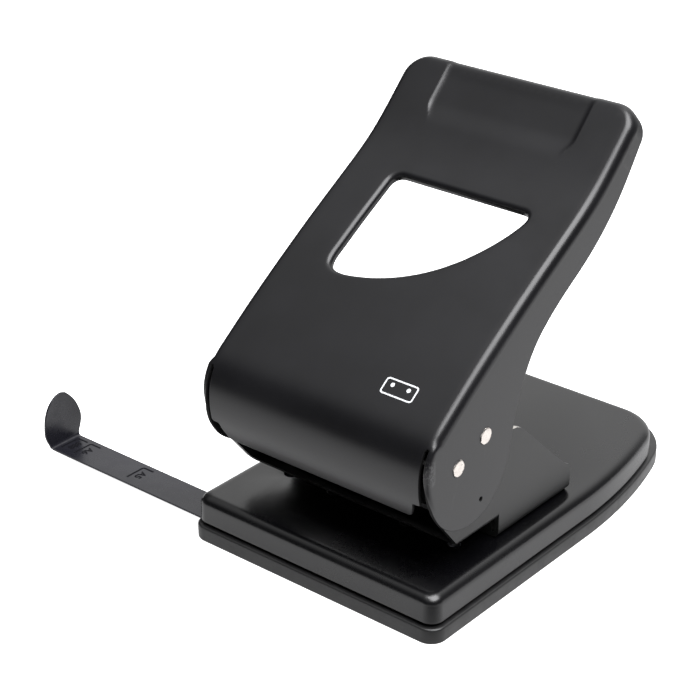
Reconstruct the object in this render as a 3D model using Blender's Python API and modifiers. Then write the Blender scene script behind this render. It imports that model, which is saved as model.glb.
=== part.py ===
"""Heavy-duty two-hole paper punch: pressed-steel base and lever, open chip
tray, sliding paper guide.

Frame: +Z up, X across the punch, +Y towards the rear.  The origin lies on the
tray's flat underside, on the mid-plane, straight below the line of the two
punch pins.  Lengths are in millimetres and are scaled to metres by MM.
"""
import math
from contextlib import contextmanager

import bmesh
import bpy
from mathutils import Matrix, Vector

MM = 0.001

# ---------------------------------------------------------------- dimensions
SIDES = (("left", -1), ("right", 1))
FIT = 0.15                   # assembly gap at fasteners, clips, cups and slots
STANDOFF = 0.2               # assembly gap between stacked sheets
CLEAR = 60.0                 # reach of cutters that pass right through

# standard file-hole geometry
HOLE_SPACING = 80.0          # between the two punched holes
PIN_D = 5.5                  # punch pin
PIN_HOLE_D = PIN_D + 0.3     # holes the pins run through
EDGE_MARGIN = 12.4           # hole line to the paper back stop
PIN_SPOTS = [(sign * HOLE_SPACING / 2, 0.0) for _, sign in SIDES]

# chip tray (moulded plastic floor of the punch)
TRAY_HALF_W = 59.8
TRAY_FRONT = -37.4
TRAY_REAR = 147.0
TRAY_SIDE_R = 225.0          # the long sides curve in with this radius
TRAY_SIDE_Y0 = 60.0          # from this station backwards
TRAY_RIM_Z = 6.3
TRAY_FLOOR = 1.8
TRAY_WALL = 2.4
TRAY_PLAN = dict(half_w=TRAY_HALF_W, front=TRAY_FRONT, rear=TRAY_REAR,
                 front_r=6.5, rear_r=32.0)

# base pan (pressed steel)
PAN_INSET = 1.35             # inside the tray's outline
PAN_REAR = 132.4
PAN_BOTTOM_Z = 7.3
PAN_TOP_Z = 18.67
PAN_SHEET = 1.4
PAN_EDGE_R = 3.3
PAN_PLAN = dict(half_w=TRAY_HALF_W - PAN_INSET, front=TRAY_FRONT + PAN_INSET,
                rear=PAN_REAR, front_r=5.4, rear_r=21.0)

# die plate under the pan
DIE_HALF_L, DIE_Y0, DIE_Y1 = 49.0, -9.5, 9.5
DIE_T = 3.1
DIE_TOP_Z = PAN_TOP_Z - PAN_SHEET - STANDOFF
DIE_LOW_Z = DIE_TOP_Z - DIE_T

# rivets and screws, as (x, y) spots
RIVET_SHANK_R = 1.95
RIVET_HOLE_D = 4.3
FRAME_RIVETS = [(-34.0, 24.0), (34.0, 24.0), (-34.0, 48.0), (34.0, 48.0)]
DIE_RIVETS = [(-18.0, 0.0), (18.0, 0.0)]
GUIDE_SCREWS = [(-26.0, -6.2), (26.0, -6.2)]

# punch frame (folded steel channel)
FRAME_HALF_W = 51.1
FRAME_SHEET = 2.0
FRAME_BEND_R = 3.0
FRAME_REAR = 59.2
FRAME_INNER_W = FRAME_HALF_W - FRAME_SHEET - 0.2   # room for parts between the cheeks
WEB_Z = PAN_TOP_Z + STANDOFF                       # underside of the frame's web
THROAT_TOP_Z = 27.0

# lever and its two cross rods, as (y, z)
PIVOT = (-17.2, 62.9)
PRESS = (-1.4, 69.3)
ROD_D = 6.8
FRAME_AXLE_HOLE_D = ROD_D + 0.5
LEVER_ROD_HOLE_D = ROD_D + 0.3
LEVER_HALF_W = 53.6
LEVER_SHEET = 1.7
LEVER_INNER_W = LEVER_HALF_W - LEVER_SHEET
LEVER_END = (91.0, 168.1)    # far end of the handle's outer face
LEVER_END_SLOPE = 45.0
LEVER_END_R = 10.8
LEVER_SKIRT = 9.0
LEVER_FOLD_R = 3.5
TOOL_HOLE = (-3.1, 44.1)
TOOL_HOLE_D = 2.4
LIP_EAR_Z = 53.6
LIP_TAB_Z = 46.0
LIP_TAB_HALF_W = 46.0
SLIT_X0, SLIT_X1, SLIT_TOP = 50.3, 51.5, 76.0

# punch pins, springs and their keepers
PIN_TIP_Z = 27.9
PIN_TOP_Z = 65.5
BRIDGE_Z0, BRIDGE_T = 34.0, 2.0
CLIP_Z, CLIP_T = 62.1, 0.7
CUP_Z, CUP_T = 61.0, 0.8
SPRING_WIRE, SPRING_D, SPRING_TURNS = 1.0, 8.2, 6

# paper guide
GUIDE_Y0, GUIDE_Y1 = -34.1, -18.9
GUIDE_MID_Y = (GUIDE_Y0 + GUIDE_Y1) / 2
GUIDE_Z, GUIDE_T = 7.0, 0.8
GUIDE_FOLD_X = -143.4
GUIDE_LENGTH = 112.0
FLAG_TOP_Z = 31.6
FLAG_HALF_W = 9.8

# guide rail: underside of the flange screwed to the die plate
RAIL_FLANGE_Z = DIE_LOW_Z - 1.5

# --------------------------------------------------------------- clean scene
for old in list(bpy.data.objects):
    bpy.data.objects.remove(old, do_unlink=True)

scene = bpy.context.scene
parts = bpy.data.collections.new("two_hole_punch")
cutters = bpy.data.collections.new("two_hole_punch_cutters")
scene.collection.children.link(parts)
scene.collection.children.link(cutters)


# ------------------------------------------------------------ scene helpers
def material(name, colour, roughness, metallic=0.0):
    mat = bpy.data.materials.new(name)
    mat.use_nodes = True
    bsdf = mat.node_tree.nodes["Principled BSDF"]
    bsdf.inputs["Base Color"].default_value = (*colour, 1.0)
    bsdf.inputs["Roughness"].default_value = roughness
    bsdf.inputs["Metallic"].default_value = metallic
    mat.diffuse_color = (*colour, 1.0)
    return mat


def anchor(name, x=0.0, y=0.0, z=0.0):
    """An empty on a joint's axis."""
    empty = bpy.data.objects.new(name, None)
    parts.objects.link(empty)
    empty.empty_display_size = 0.01
    empty.location = (x * MM, y * MM, z * MM)
    bpy.context.view_layer.update()
    return empty


def new_object(name, data):
    obj = bpy.data.objects.new(name, data)
    scene.collection.objects.link(obj)
    return obj


def move_to(obj, collection):
    for current in list(obj.users_collection):
        current.objects.unlink(obj)
    collection.objects.link(obj)


def adopt(obj, name, mat, joint, smooth=30.0):
    """Name a mesh object, give it its finish, and hang it on its joint."""
    obj.name = name
    obj.data.name = name
    obj.data.materials.clear()
    obj.data.materials.append(mat)
    move_to(obj, parts)
    obj.data.shade_smooth()
    obj.data.set_sharp_from_angle(angle=math.radians(smooth))
    # the mesh keeps its place; its origin moves to the joint's axis
    obj.data.transform(Matrix.Translation(-joint.matrix_world.translation))
    obj.parent = joint


def combine(obj, operation, *tools):
    """Add a live boolean with each tool; the tools become hidden helpers."""
    for tool in tools:
        move_to(tool, cutters)
        tool.hide_render = True
        tool.display_type = "WIRE"
        modifier = obj.modifiers.new(operation.lower(), "BOOLEAN")
        modifier.operation = operation
        modifier.solver = "EXACT"
        modifier.object = tool


def cut(obj, *tools):
    combine(obj, "DIFFERENCE", *tools)


def join(obj, *tools):
    combine(obj, "UNION", *tools)


def evaluated_mesh(obj):
    """A new mesh of the object as it stands after its modifiers."""
    bpy.context.view_layer.update()
    graph = bpy.context.evaluated_depsgraph_get()
    return bpy.data.meshes.new_from_object(obj.evaluated_get(graph))


def mesh_and_remove(obj):
    """The object's evaluated mesh; the object itself goes."""
    mesh = evaluated_mesh(obj)
    bpy.data.objects.remove(obj, do_unlink=True)
    return mesh


@contextmanager
def editing(mesh):
    """Edit a mesh through a bmesh that is written back at the end."""
    bm = bmesh.new()
    bm.from_mesh(mesh)
    yield bm
    bm.to_mesh(mesh)
    bm.free()


def weld(mesh, distance):
    """Merge coincident points and turn all faces outwards."""
    with editing(mesh) as bm:
        bmesh.ops.remove_doubles(bm, verts=bm.verts, dist=distance)
        bmesh.ops.recalc_face_normals(bm, faces=bm.faces)


def bevel(bm, edges, width, segments, clamp=False):
    bmesh.ops.bevel(bm, geom=edges, offset=width * MM, offset_type="OFFSET",
                    segments=segments, profile=0.5, affect="EDGES", clamp_overlap=clamp)


# -------------------------------------------------------------------- solids
def prism(loops, low, high, along="Z"):
    """A flat outline, with holes where there are more loops, given thickness.

    along Z: points are (x, y); along X: points are (y, z); along Y: (x, z).
    """
    curve = bpy.data.curves.new("outline", "CURVE")
    curve.dimensions = "2D"
    curve.fill_mode = "BOTH"
    curve.extrude = 0.5 * (high - low) * MM
    for loop in loops:
        outline = curve.splines.new("POLY")
        outline.points.add(len(loop) - 1)
        for point, (u, v) in zip(outline.points, loop):
            point.co = (u * MM, v * MM, 0.0, 1.0)
        outline.use_cyclic_u = True
    mesh = mesh_and_remove(new_object("outline", curve))
    bpy.data.curves.remove(curve)
    with editing(mesh) as bm:
        bmesh.ops.remove_doubles(bm, verts=bm.verts, dist=1e-6)
        bmesh.ops.dissolve_limit(bm, angle_limit=1e-4, verts=bm.verts, edges=bm.edges,
                                 delimit={"NORMAL"})
        bmesh.ops.recalc_face_normals(bm, faces=bm.faces)
    mid = 0.5 * (low + high) * MM
    if along == "Z":
        placing = Matrix.Translation((0, 0, mid))
    elif along == "X":
        placing = Matrix(((0, 0, 1, mid), (1, 0, 0, 0), (0, 1, 0, 0), (0, 0, 0, 1)))
    else:
        placing = Matrix(((1, 0, 0, 0), (0, 0, -1, mid), (0, 1, 0, 0), (0, 0, 0, 1)))
    mesh.transform(placing)
    return new_object("prism", mesh)


def round_rim(obj, z, radius, segments):
    """Round the edges that lie in the plane at height z."""
    sharpest_kept = 0.6      # radians; flatter edges are left alone
    with editing(obj.data) as bm:
        edges = [edge for edge in bm.edges
                 if all(abs(vert.co.z - z * MM) < 1e-6 for vert in edge.verts)
                 and edge.calc_face_angle(0.0) > sharpest_kept]
        bevel(bm, edges, radius, segments, clamp=True)
    return obj


def box(*spans):
    """A block from its (low, high) spans in x, y and z."""
    mesh = bpy.data.meshes.new("box")
    with editing(mesh) as bm:
        bmesh.ops.create_cube(bm, size=1.0)
        for vert in bm.verts:
            vert.co = Vector([(low + high) / 2 + unit * (high - low)
                              for unit, (low, high) in zip(vert.co, spans)]) * MM
    return new_object("box", mesh)


def rod(diameter, start, end, sides=24, chamfer=0.0):
    """A round bar between two points on its axis."""
    start, end = Vector(start), Vector(end)
    mesh = bpy.data.meshes.new("rod")
    with editing(mesh) as bm:
        bmesh.ops.create_cone(bm, cap_ends=True, segments=sides, radius1=diameter / 2 * MM,
                              radius2=diameter / 2 * MM, depth=(end - start).length * MM)
        if chamfer:
            rims = [edge for edge in bm.edges
                    if abs(edge.verts[0].co.z - edge.verts[1].co.z) < 1e-9]
            bevel(bm, rims, chamfer, 1)
        turn = (end - start).to_track_quat("Z", "Y").to_matrix().to_4x4()
        bm.transform(Matrix.Translation((start + end) / 2 * MM) @ turn)
    return new_object("rod", mesh)


def uprights(diameter, spots, low, high, sides=24):
    """Vertical rods, one at each (x, y) spot."""
    return [rod(diameter, (*spot, low), (*spot, high), sides) for spot in spots]


def cross_rod(diameter, spot, reach=CLEAR, sides=24, chamfer=0.0):
    """A rod along X through the (y, z) spot."""
    return rod(diameter, (-reach, *spot), (reach, *spot), sides, chamfer)


def turned(profile, x, y, sides=24):
    """A solid of revolution about a vertical axis.  profile is (radius, z) from
    top to bottom down the outer side; both ends lie on the axis, or the
    profile closes on itself round a bore."""
    points = [Vector((radius * MM, 0, z * MM)) for radius, z in profile]
    edges = [(i, i + 1) for i in range(len(points) - 1)]
    if profile[0][0] > 0:
        edges.append((len(points) - 1, 0))
    mesh = bpy.data.meshes.new("profile")
    mesh.from_pydata(points, edges, [])
    obj = new_object("profile", mesh)
    screw = obj.modifiers.new("turn", "SCREW")
    screw.axis = "Z"
    screw.angle = math.tau
    screw.steps = screw.render_steps = sides
    screw.use_merge_vertices = True
    screw.merge_threshold = 1e-6
    solid = mesh_and_remove(obj)
    weld(solid, 1e-7)
    solid.transform(Matrix.Translation((x * MM, y * MM, 0)))
    return new_object("turned", solid)


def fastener(name, spot, shank_r, top, bottom, above, below):
    """A rivet or screw.  above is (radius, height over top) of the upper end,
    below is (radius, depth under bottom) of the lower end."""
    profile = [(radius, top + height) for radius, height in above]
    profile += [(shank_r, top), (shank_r, bottom)]
    profile += [(radius, bottom - depth) for radius, depth in below]
    adopt(turned(profile, *spot, 16), name, zinc, base_origin)


def tilted(obj, foot, slope):
    """Tip a piece up about X by slope degrees and set it at foot (y, z)."""
    y, z = foot
    obj.data.transform(Matrix.Translation((0, y * MM, z * MM))
                       @ Matrix.Rotation(math.radians(slope), 4, "X"))
    return obj


# ------------------------------------------------------------------ outlines
def circle(cx, cy, diameter):
    sides = 24
    return [(cx + diameter / 2 * math.cos(math.tau * i / sides),
             cy + diameter / 2 * math.sin(math.tau * i / sides)) for i in range(sides)]


def arc(cx, cy, radius, start, end, steps):
    """Points on a circle from angle start to end, in degrees."""
    angles = [math.radians(start + (end - start) * i / steps) for i in range(steps + 1)]
    return [(cx + radius * math.cos(a), cy + radius * math.sin(a)) for a in angles]


def spline(knots, steps):
    """A smooth path through the knots: a cubic of steps points to each span."""
    last = len(knots) - 1
    lengths = [math.dist(knots[i], knots[i + 1]) for i in range(last)]
    slopes = []
    for i in range(last + 1):
        before, after = max(i - 1, 0), min(i + 1, last)
        reach = sum(lengths[before:after])
        slopes.append([(knots[after][k] - knots[before][k]) / reach for k in (0, 1)])
    path = []
    for i, length in enumerate(lengths):
        for j in range(steps):
            t = j / steps
            weights = (2 * t**3 - 3 * t**2 + 1, t**3 - 2 * t**2 + t,
                       -2 * t**3 + 3 * t**2, t**3 - t**2)
            path.append(tuple(weights[0] * knots[i][k] + weights[1] * (slopes[i][k] * length)
                              + weights[2] * knots[i + 1][k]
                              + weights[3] * (slopes[i + 1][k] * length) for k in (0, 1)))
    path.append(tuple(knots[-1]))
    return path


def offset_path(path, distance):
    """The path moved sideways, to its right when walked from start to end."""
    moved = []
    for i, (u, v) in enumerate(path):
        before, after = path[max(i - 1, 0)], path[min(i + 1, len(path) - 1)]
        du, dv = after[0] - before[0], after[1] - before[1]
        size = math.hypot(du, dv)
        moved.append((u + distance * dv / size, v - distance * du / size))
    return moved


def plan(half_w, front, rear, front_r, rear_r, inset=0.0):
    """Plan outline shared by tray and pan: square front with small corners,
    sides that curve in behind TRAY_SIDE_Y0, broad rear corners."""
    front_corner, rear_corner = front_r - inset, rear_r - inset
    side_r = TRAY_SIDE_R - inset
    side_cx = half_w - TRAY_SIDE_R
    rear_cy = rear - inset - rear_corner
    rear_cx = side_cx + math.sqrt((side_r - rear_corner) ** 2 - (rear_cy - TRAY_SIDE_Y0) ** 2)
    # angle at which the side's curve runs into the rear corner
    meet = math.degrees(math.atan2(rear_cy - TRAY_SIDE_Y0, rear_cx - side_cx))
    right = arc(half_w - inset - front_corner, front + inset + front_corner,
                front_corner, -90, 0, 6)
    right += arc(side_cx, TRAY_SIDE_Y0, side_r, 0, meet, 6)
    right += arc(rear_cx, rear_cy, rear_corner, meet, 90, 8)[1:]
    return right + [(-x, y) for x, y in reversed(right)]


def side_span(sign, inner, outer):
    """The x span between two distances from the mid-plane, on one side."""
    return sorted((sign * inner, sign * outer))


# ------------------------------------------------------------ tray and pan
def build_chip_tray():
    tray = prism([plan(**TRAY_PLAN)], 0.0, TRAY_RIM_Z)
    round_rim(tray, TRAY_RIM_Z, 0.8, 1)
    round_rim(tray, 0.0, 0.6, 1)
    # wide hollow under a narrower opening, which leaves an inward rim
    hollow_low = prism([plan(**TRAY_PLAN, inset=TRAY_WALL)], TRAY_FLOOR, TRAY_RIM_Z - 1.7)
    hollow_high = prism([plan(**PAN_PLAN, inset=2.6)], TRAY_FLOOR + 0.2, TRAY_RIM_Z + 5.0)
    cut(tray, hollow_low, hollow_high)
    # moulded catch tongues inside the pan's rear wall hold the tray shut
    tongue_x, tongue_half_w = 17.0, 5.0
    wall_y = PAN_REAR - PAN_SHEET
    for _, sign in SIDES:
        x = sign * tongue_x
        join(tray, box((x - tongue_half_w, x + tongue_half_w), (wall_y - 2.0, wall_y - 0.5),
                       (TRAY_RIM_Z - 1.2, TRAY_RIM_Z + 6.2)))
    adopt(tray, "chip_tray", plastic, tray_axis)


def build_base_pan():
    pan = round_rim(prism([plan(**PAN_PLAN)], PAN_BOTTOM_Z, PAN_TOP_Z),
                    PAN_TOP_Z, PAN_EDGE_R, 3)
    inner_top = PAN_TOP_Z - PAN_SHEET
    hollow = prism([plan(**PAN_PLAN, inset=PAN_SHEET)], PAN_BOTTOM_Z - 3.0, inner_top)
    cut(pan, round_rim(hollow, inner_top, PAN_EDGE_R - PAN_SHEET, 2))
    # relief in the left skirt that the paper guide strip slides through
    cut(pan, box((-62.0, -54.0), (GUIDE_Y0 - 0.3, GUIDE_Y1 + 0.3),
                 (PAN_BOTTOM_Z - 2.0, GUIDE_Z + GUIDE_T + 0.55)))
    chip_hole_d = 6.6
    cut(pan, *uprights(chip_hole_d, PIN_SPOTS, 10, 25),
        *uprights(RIVET_HOLE_D, FRAME_RIVETS + DIE_RIVETS, 10, 25, 16))
    adopt(pan, "base_pan", paint, base_origin)


def build_die_plate():
    """The plate and the two rivets that hold it under the pan."""
    outline = [(-DIE_HALF_L, DIE_Y0), (DIE_HALF_L, DIE_Y0),
               (DIE_HALF_L, DIE_Y1), (-DIE_HALF_L, DIE_Y1)]
    die = prism([outline], DIE_LOW_Z, DIE_TOP_Z)
    screw_hole_d = 3.3
    cut(die, *uprights(PIN_HOLE_D, PIN_SPOTS, 5, 25),
        *uprights(RIVET_HOLE_D, DIE_RIVETS, 5, 25, 16),
        *uprights(screw_hole_d, GUIDE_SCREWS, 5, 25, 16))
    adopt(die, "die_plate", zinc, base_origin)
    for spot, (side, _) in zip(DIE_RIVETS, SIDES):
        fastener("die_rivet_" + side, spot, RIVET_SHANK_R, PAN_TOP_Z + 0.1, DIE_LOW_Z - FIT,
                 above=[(0, 0.5), (2.6, 0.5), (3.2, 0)],
                 below=[(3.3, 0), (2.5, 1.0), (0, 1.0)])


# --------------------------------------------------------------- punch frame
def channel(y0, y1, z):
    """U section with rounded outer and inner bends, standing open upwards."""
    top = 80.0               # above the cheeks' side outline
    half_w, sheet, bend = FRAME_HALF_W, FRAME_SHEET, FRAME_BEND_R
    bend_x, bend_z = half_w - bend, z + bend
    outer = (arc(bend_x, bend_z, bend, 0, -90, 3)
             + arc(-bend_x, bend_z, bend, -90, -180, 3))
    inner = (arc(-bend_x, bend_z, bend - sheet, 180, 270, 2)
             + arc(bend_x, bend_z, bend - sheet, 270, 360, 2))
    loop = ([(half_w, top)] + outer + [(-half_w, top), (-half_w + sheet, top)]
            + inner + [(half_w - sheet, top)])
    return prism([loop], y0, y1, along="Y")


def frame_side_outline():
    """Side view (y, z) of the cheeks: up the front, over the pivot ear, down
    through the press bar's slot, and down the rear slope to the web."""
    # distance and bearing of the press bar from the pivot, and the lever's swing
    press_distance, press_bearing, swing = 17.05, 22.05, 44.0
    slot_z = PIVOT[1] + press_distance * math.sin(math.radians(press_bearing - swing))
    ear = arc(*PIVOT, 9.4, 200, 48, 8)
    slot = [(-6.0, 66.0)] + arc(-0.9, slot_z, 4.4, 200, 340, 6) + [(4.6, 61.6), (5.6, 62.6)]
    rear_slope = [(19.0, 62.6), (23.5, 61.4), (26.2, 59.5), (32.3, 53.8),
                  (51.3, 36.0), (FRAME_REAR, 30.1)]
    return ([(-11.6, THROAT_TOP_Z - 0.5), (-22.8, 40.3)] + ear + slot + rear_slope
            + [(FRAME_REAR, WEB_Z - 1.0), (0.0, WEB_Z - 1.0)])


def build_punch_frame():
    """The frame and the four rivets that hold it on the pan."""
    frame = channel(EDGE_MARGIN, FRAME_REAR + 2, WEB_Z)
    step_half_w = FRAME_HALF_W - FRAME_BEND_R
    step_rear = EDGE_MARGIN + FRAME_SHEET
    # raised throat top, and the upright step that is the paper's back stop
    join(frame, channel(-40.0, step_rear, THROAT_TOP_Z),
         box((-step_half_w, step_half_w), (EDGE_MARGIN, step_rear),
             (WEB_Z + 0.3, THROAT_TOP_Z + FRAME_SHEET - 0.3)))
    combine(frame, "INTERSECT", prism([frame_side_outline()], -CLEAR, CLEAR, along="X"))
    cut(frame, cross_rod(FRAME_AXLE_HOLE_D, PIVOT),
        *uprights(PIN_HOLE_D, PIN_SPOTS, 20, 33),
        *uprights(RIVET_HOLE_D, FRAME_RIVETS, 10, 26, 16),
        box((-CLEAR, CLEAR), (-4.3, 4.3), (BRIDGE_Z0 - FIT, BRIDGE_Z0 + BRIDGE_T + FIT)))
    adopt(frame, "punch_frame", dark_paint, base_origin)
    for i, (x, y) in enumerate(FRAME_RIVETS):
        row = "front_" if i < 2 else "rear_"
        side = "left" if x < 0 else "right"
        fastener("frame_rivet_" + row + side, (x, y), RIVET_SHANK_R,
                 WEB_Z + FRAME_SHEET + FIT, PAN_TOP_Z - PAN_SHEET - FIT,
                 above=[(0, 1.7), (1.9, 1.55), (3.2, 1.0), (3.8, 0)],
                 below=[(3.4, 0), (2.6, 1.2), (0, 1.2)])


def build_pin_bridge():
    """Plate that guides the pins, with a tab through each cheek."""
    wide, tab = FRAME_INNER_W, FRAME_HALF_W - 0.1
    outline = [(-wide, -8.0), (wide, -8.0), (wide, -4.0), (tab, -4.0),
               (tab, 4.0), (wide, 4.0), (wide, 8.0), (-wide, 8.0),
               (-wide, 4.0), (-tab, 4.0), (-tab, -4.0), (-wide, -4.0)]
    pin_holes = [circle(*spot, PIN_HOLE_D) for spot in PIN_SPOTS]
    bridge = prism([outline, *pin_holes], BRIDGE_Z0, BRIDGE_Z0 + BRIDGE_T)
    adopt(bridge, "pin_guide_bridge", zinc, base_origin)


def build_spring_shield():
    """Upright plate behind the pins, closing the punch head off."""
    half_w = FRAME_INNER_W - 0.2
    shield = box((-half_w, half_w), (9.2, 10.6), (THROAT_TOP_Z + FRAME_SHEET + 0.3, 58.0))
    adopt(shield, "spring_shield", dark_paint, base_origin)


# -------------------------------------------- pins, clips, cups and springs
def build_pin(side, x):
    """A punch pin with its retaining clip and spring cup."""
    joint = pin_axis[side]
    radius = PIN_D / 2
    chamfer, groove_depth = 0.6, 0.7
    groove_top, groove_low = CLIP_Z + CLIP_T + FIT, CLIP_Z - FIT
    # the tip is hollowed to a shallow cone
    pin = turned([(0, PIN_TOP_Z), (radius - chamfer, PIN_TOP_Z), (radius, PIN_TOP_Z - chamfer),
                  (radius, groove_top), (radius - groove_depth, groove_top),
                  (radius - groove_depth, groove_low), (radius, groove_low),
                  (radius, PIN_TIP_Z), (0, PIN_TIP_Z + 1.6)], x, 0.0)
    adopt(pin, "punch_pin_" + side, spring_steel, joint)

    # open ring that snaps into the pin's groove
    ring = arc(x, 0.0, 4.6, -60, 240, 20) + arc(x, 0.0, radius - 0.5, 240, -60, 20)
    adopt(prism([ring], CLIP_Z, CLIP_Z + CLIP_T), "retaining_clip_" + side, zinc, joint)

    bore_r, cup_r, cup_top = radius + 0.2, 5.2, CUP_Z + CUP_T
    cup = turned([(bore_r, cup_top), (cup_r, cup_top), (cup_r, CUP_Z), (bore_r, CUP_Z)], x, 0.0)
    adopt(cup, "spring_cup_" + side, zinc, joint)


def build_return_spring(side, x):
    """Helical spring from bridge to cup, with a flat closed coil at each end."""
    low = BRIDGE_Z0 + BRIDGE_T + FIT + SPRING_WIRE / 2
    high = CUP_Z - FIT - SPRING_WIRE / 2
    points_per_turn, turns = 14, SPRING_TURNS + 2
    closed_rise = 1.08 * SPRING_WIRE         # climb of one closed coil
    open_rise = (high - low) - 2 * closed_rise
    curve = bpy.data.curves.new("coil", "CURVE")
    curve.dimensions = "3D"
    curve.bevel_depth = SPRING_WIRE / 2 * MM
    curve.bevel_resolution = 1
    curve.use_fill_caps = True
    wire = curve.splines.new("POLY")
    wire.points.add(points_per_turn * turns)
    for i, point in enumerate(wire.points):
        turn = i / points_per_turn
        if turn < 1:
            z = low + closed_rise * turn
        elif turn > turns - 1:
            z = high - closed_rise * (turns - turn)
        else:
            z = low + closed_rise + open_rise * (turn - 1) / (turns - 2)
        angle = math.tau * turn
        point.co = ((x + SPRING_D / 2 * math.cos(angle)) * MM,
                    SPRING_D / 2 * math.sin(angle) * MM, z * MM, 1)
    mesh = mesh_and_remove(new_object("coil", curve))
    weld(mesh, 1e-6)
    adopt(new_object("coil", mesh), "return_spring_" + side, spring_steel, base_origin, 60.0)


# --------------------------------------------------------------------- lever
# outer face of the handle in side view (y, z), from the tip of the front lip,
# round the front roll and up the handle to its far end
FACE_KNOTS = [
    (-31.0, LIP_TAB_Z), (-34.1, 53.8), (-35.3, 62.6), (-34.0, 71.0), (-30.2, 77.4),
    (-24.0, 83.0), (-8.6, 94.4), (10.8, 107.7), (31.4, 121.0), (50.0, 132.4),
    (63.1, 141.3), (74.3, 151.4), LEVER_END]
# rear and lower edge of the side flanges (y, z), walked back to the lip
FLANGE_KNOTS = [
    (92.5, 157.0), (89.2, 154.0), (84.7, 143.6), (78.9, 135.9), (69.8, 126.1),
    (58.8, 117.0), (45.3, 109.0), (33.5, 100.5), (25.0, 90.9), (19.8, 79.6),
    (16.0, 68.0), (13.6, 54.0), (5.2, 42.2), (-2.4, 37.4), (-9.4, 36.1),
    (-19.3, 38.4), (-27.2, 44.0)]
FACE_STEPS = 3
END_COS = math.cos(math.radians(LEVER_END_SLOPE))
END_SIN = math.sin(math.radians(LEVER_END_SLOPE))


def below_end(point, distance):
    """The (y, z) point moved down square to the handle's end part."""
    return (point[0] + distance * END_SIN, point[1] - distance * END_COS)


def hollow_outline(face):
    """Side view of the space inside the lever, open below and behind."""
    inner = offset_path(face, LEVER_SHEET)
    end_y = inner[-1][0] - LEVER_SHEET * END_COS
    end_z = inner[-1][1] - LEVER_SHEET * END_SIN
    # keep only the points short of the inside of the end wall
    inner = [(y, z) for y, z in inner
             if (y - end_y) * END_COS + (z - end_z) * END_SIN < -0.5]
    return ([(-CLEAR, LIP_TAB_Z), (inner[0][0], LIP_TAB_Z)] + inner[1:]
            + [(end_y, end_z), below_end((end_y, end_z), CLEAR), (120.0, 10.0), (-CLEAR, 10.0)])


def end_block(half_w, reach, radius):
    """Prism square to the handle's end part: bounds its rounded corners."""
    loop = ([(-half_w, -260.0), (half_w, -260.0)]
            + arc(half_w - radius, reach - radius, radius, 0, 90, 5)
            + arc(-half_w + radius, reach - radius, radius, 90, 180, 5))
    return tilted(prism([loop], -120.0, 120.0), LEVER_END, LEVER_END_SLOPE)


def round_folds(obj, low, radius):
    """Round the folds between the handle's face and its side and end walls,
    above the height low."""
    def on_face(normal):
        return abs(normal.x) < 0.02 and normal.y < -0.05 and normal.z > 0.15

    with editing(obj.data) as bm:
        bm.normal_update()
        edges = []
        for edge in bm.edges:
            if len(edge.link_faces) != 2 or min(v.co.z for v in edge.verts) < low * MM:
                continue
            first, second = (face.normal for face in edge.link_faces)
            if first.dot(second) < 0.35 and (on_face(first) or on_face(second)):
                edges.append(edge)
        bevel(bm, edges, radius, 2)


def handle_window():
    """Cutter for the quarter-ellipse window, drawn in the handle's plane as
    (x, distance up the slope from the foot)."""
    foot, slope = (24.3, 116.5), 32.4
    left, right, low, top = -31.0, 32.8, -16.7, 31.3
    low_left_r, top_right_r, top_left_r = 3.2, 2.8, 5.0
    bow = [(left + (right - left) * math.cos(math.radians(angle)),
            top - (top - low) * math.sin(math.radians(angle)))
           for angle in range(86, 3, -9)]
    loop = (arc(left + low_left_r, low + 3.6, low_left_r, 180, 262, 3) + bow
            + arc(right - 3.4, top - top_right_r, top_right_r, 0, 90, 3)
            + arc(left + top_left_r, top - top_left_r, top_left_r, 90, 180, 4))
    return tilted(prism([loop], -15.0, 15.0), foot, slope)


def build_lever():
    face = spline(FACE_KNOTS, FACE_STEPS)
    face = face[:-FACE_STEPS] + [face[-1]]      # the grip end is flat
    outline = face + [below_end(LEVER_END, LEVER_SKIRT)] + spline(FLANGE_KNOTS, 2)
    lever = prism([outline], -LEVER_HALF_W, LEVER_HALF_W, along="X")
    hollow = prism([hollow_outline(face)], -LEVER_INNER_W, LEVER_INNER_W, along="X")
    combine(hollow, "INTERSECT",
            end_block(LEVER_INNER_W, -LEVER_SHEET, LEVER_END_R - LEVER_SHEET))
    combine(lever, "INTERSECT", end_block(LEVER_HALF_W, 0.0, LEVER_END_R))

    # the folds can only be rounded on plain mesh
    mesh = evaluated_mesh(lever)
    lever.modifiers.clear()
    lever.data = mesh
    round_folds(lever, SLIT_TOP + 1.0, LEVER_FOLD_R)
    cut(lever, hollow)

    # slits beside the front roll, and the lip cut back outside its middle tab
    front_y = (-45.0, -24.0)
    for _, sign in SIDES:
        cut(lever, box(side_span(sign, SLIT_X0, SLIT_X1), front_y, (20.0, SLIT_TOP)),
            box(side_span(sign, LIP_TAB_HALF_W, LEVER_INNER_W), front_y, (20.0, LIP_EAR_Z)))
    cut(lever, cross_rod(LEVER_ROD_HOLE_D, PIVOT), cross_rod(LEVER_ROD_HOLE_D, PRESS),
        cross_rod(TOOL_HOLE_D, TOOL_HOLE, sides=12), handle_window())
    adopt(lever, "lever", paint, lever_axis)


def build_cross_rods():
    """Axle and press bar, and the washers between frame and lever."""
    for name, spot in (("lever_axle", PIVOT), ("press_bar", PRESS)):
        adopt(cross_rod(ROD_D, spot, LEVER_HALF_W + 0.5, chamfer=0.4), name, nickel, lever_axis)
    washer_d, washer_gap = 13.0, 0.1
    for side, sign in SIDES:
        span = side_span(sign, FRAME_HALF_W + washer_gap, LEVER_INNER_W - washer_gap)
        washer = prism([circle(*PIVOT, washer_d), circle(*PIVOT, FRAME_AXLE_HOLE_D)],
                       *span, along="X")
        adopt(washer, "axle_washer_" + side, zinc, lever_axis)


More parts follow.
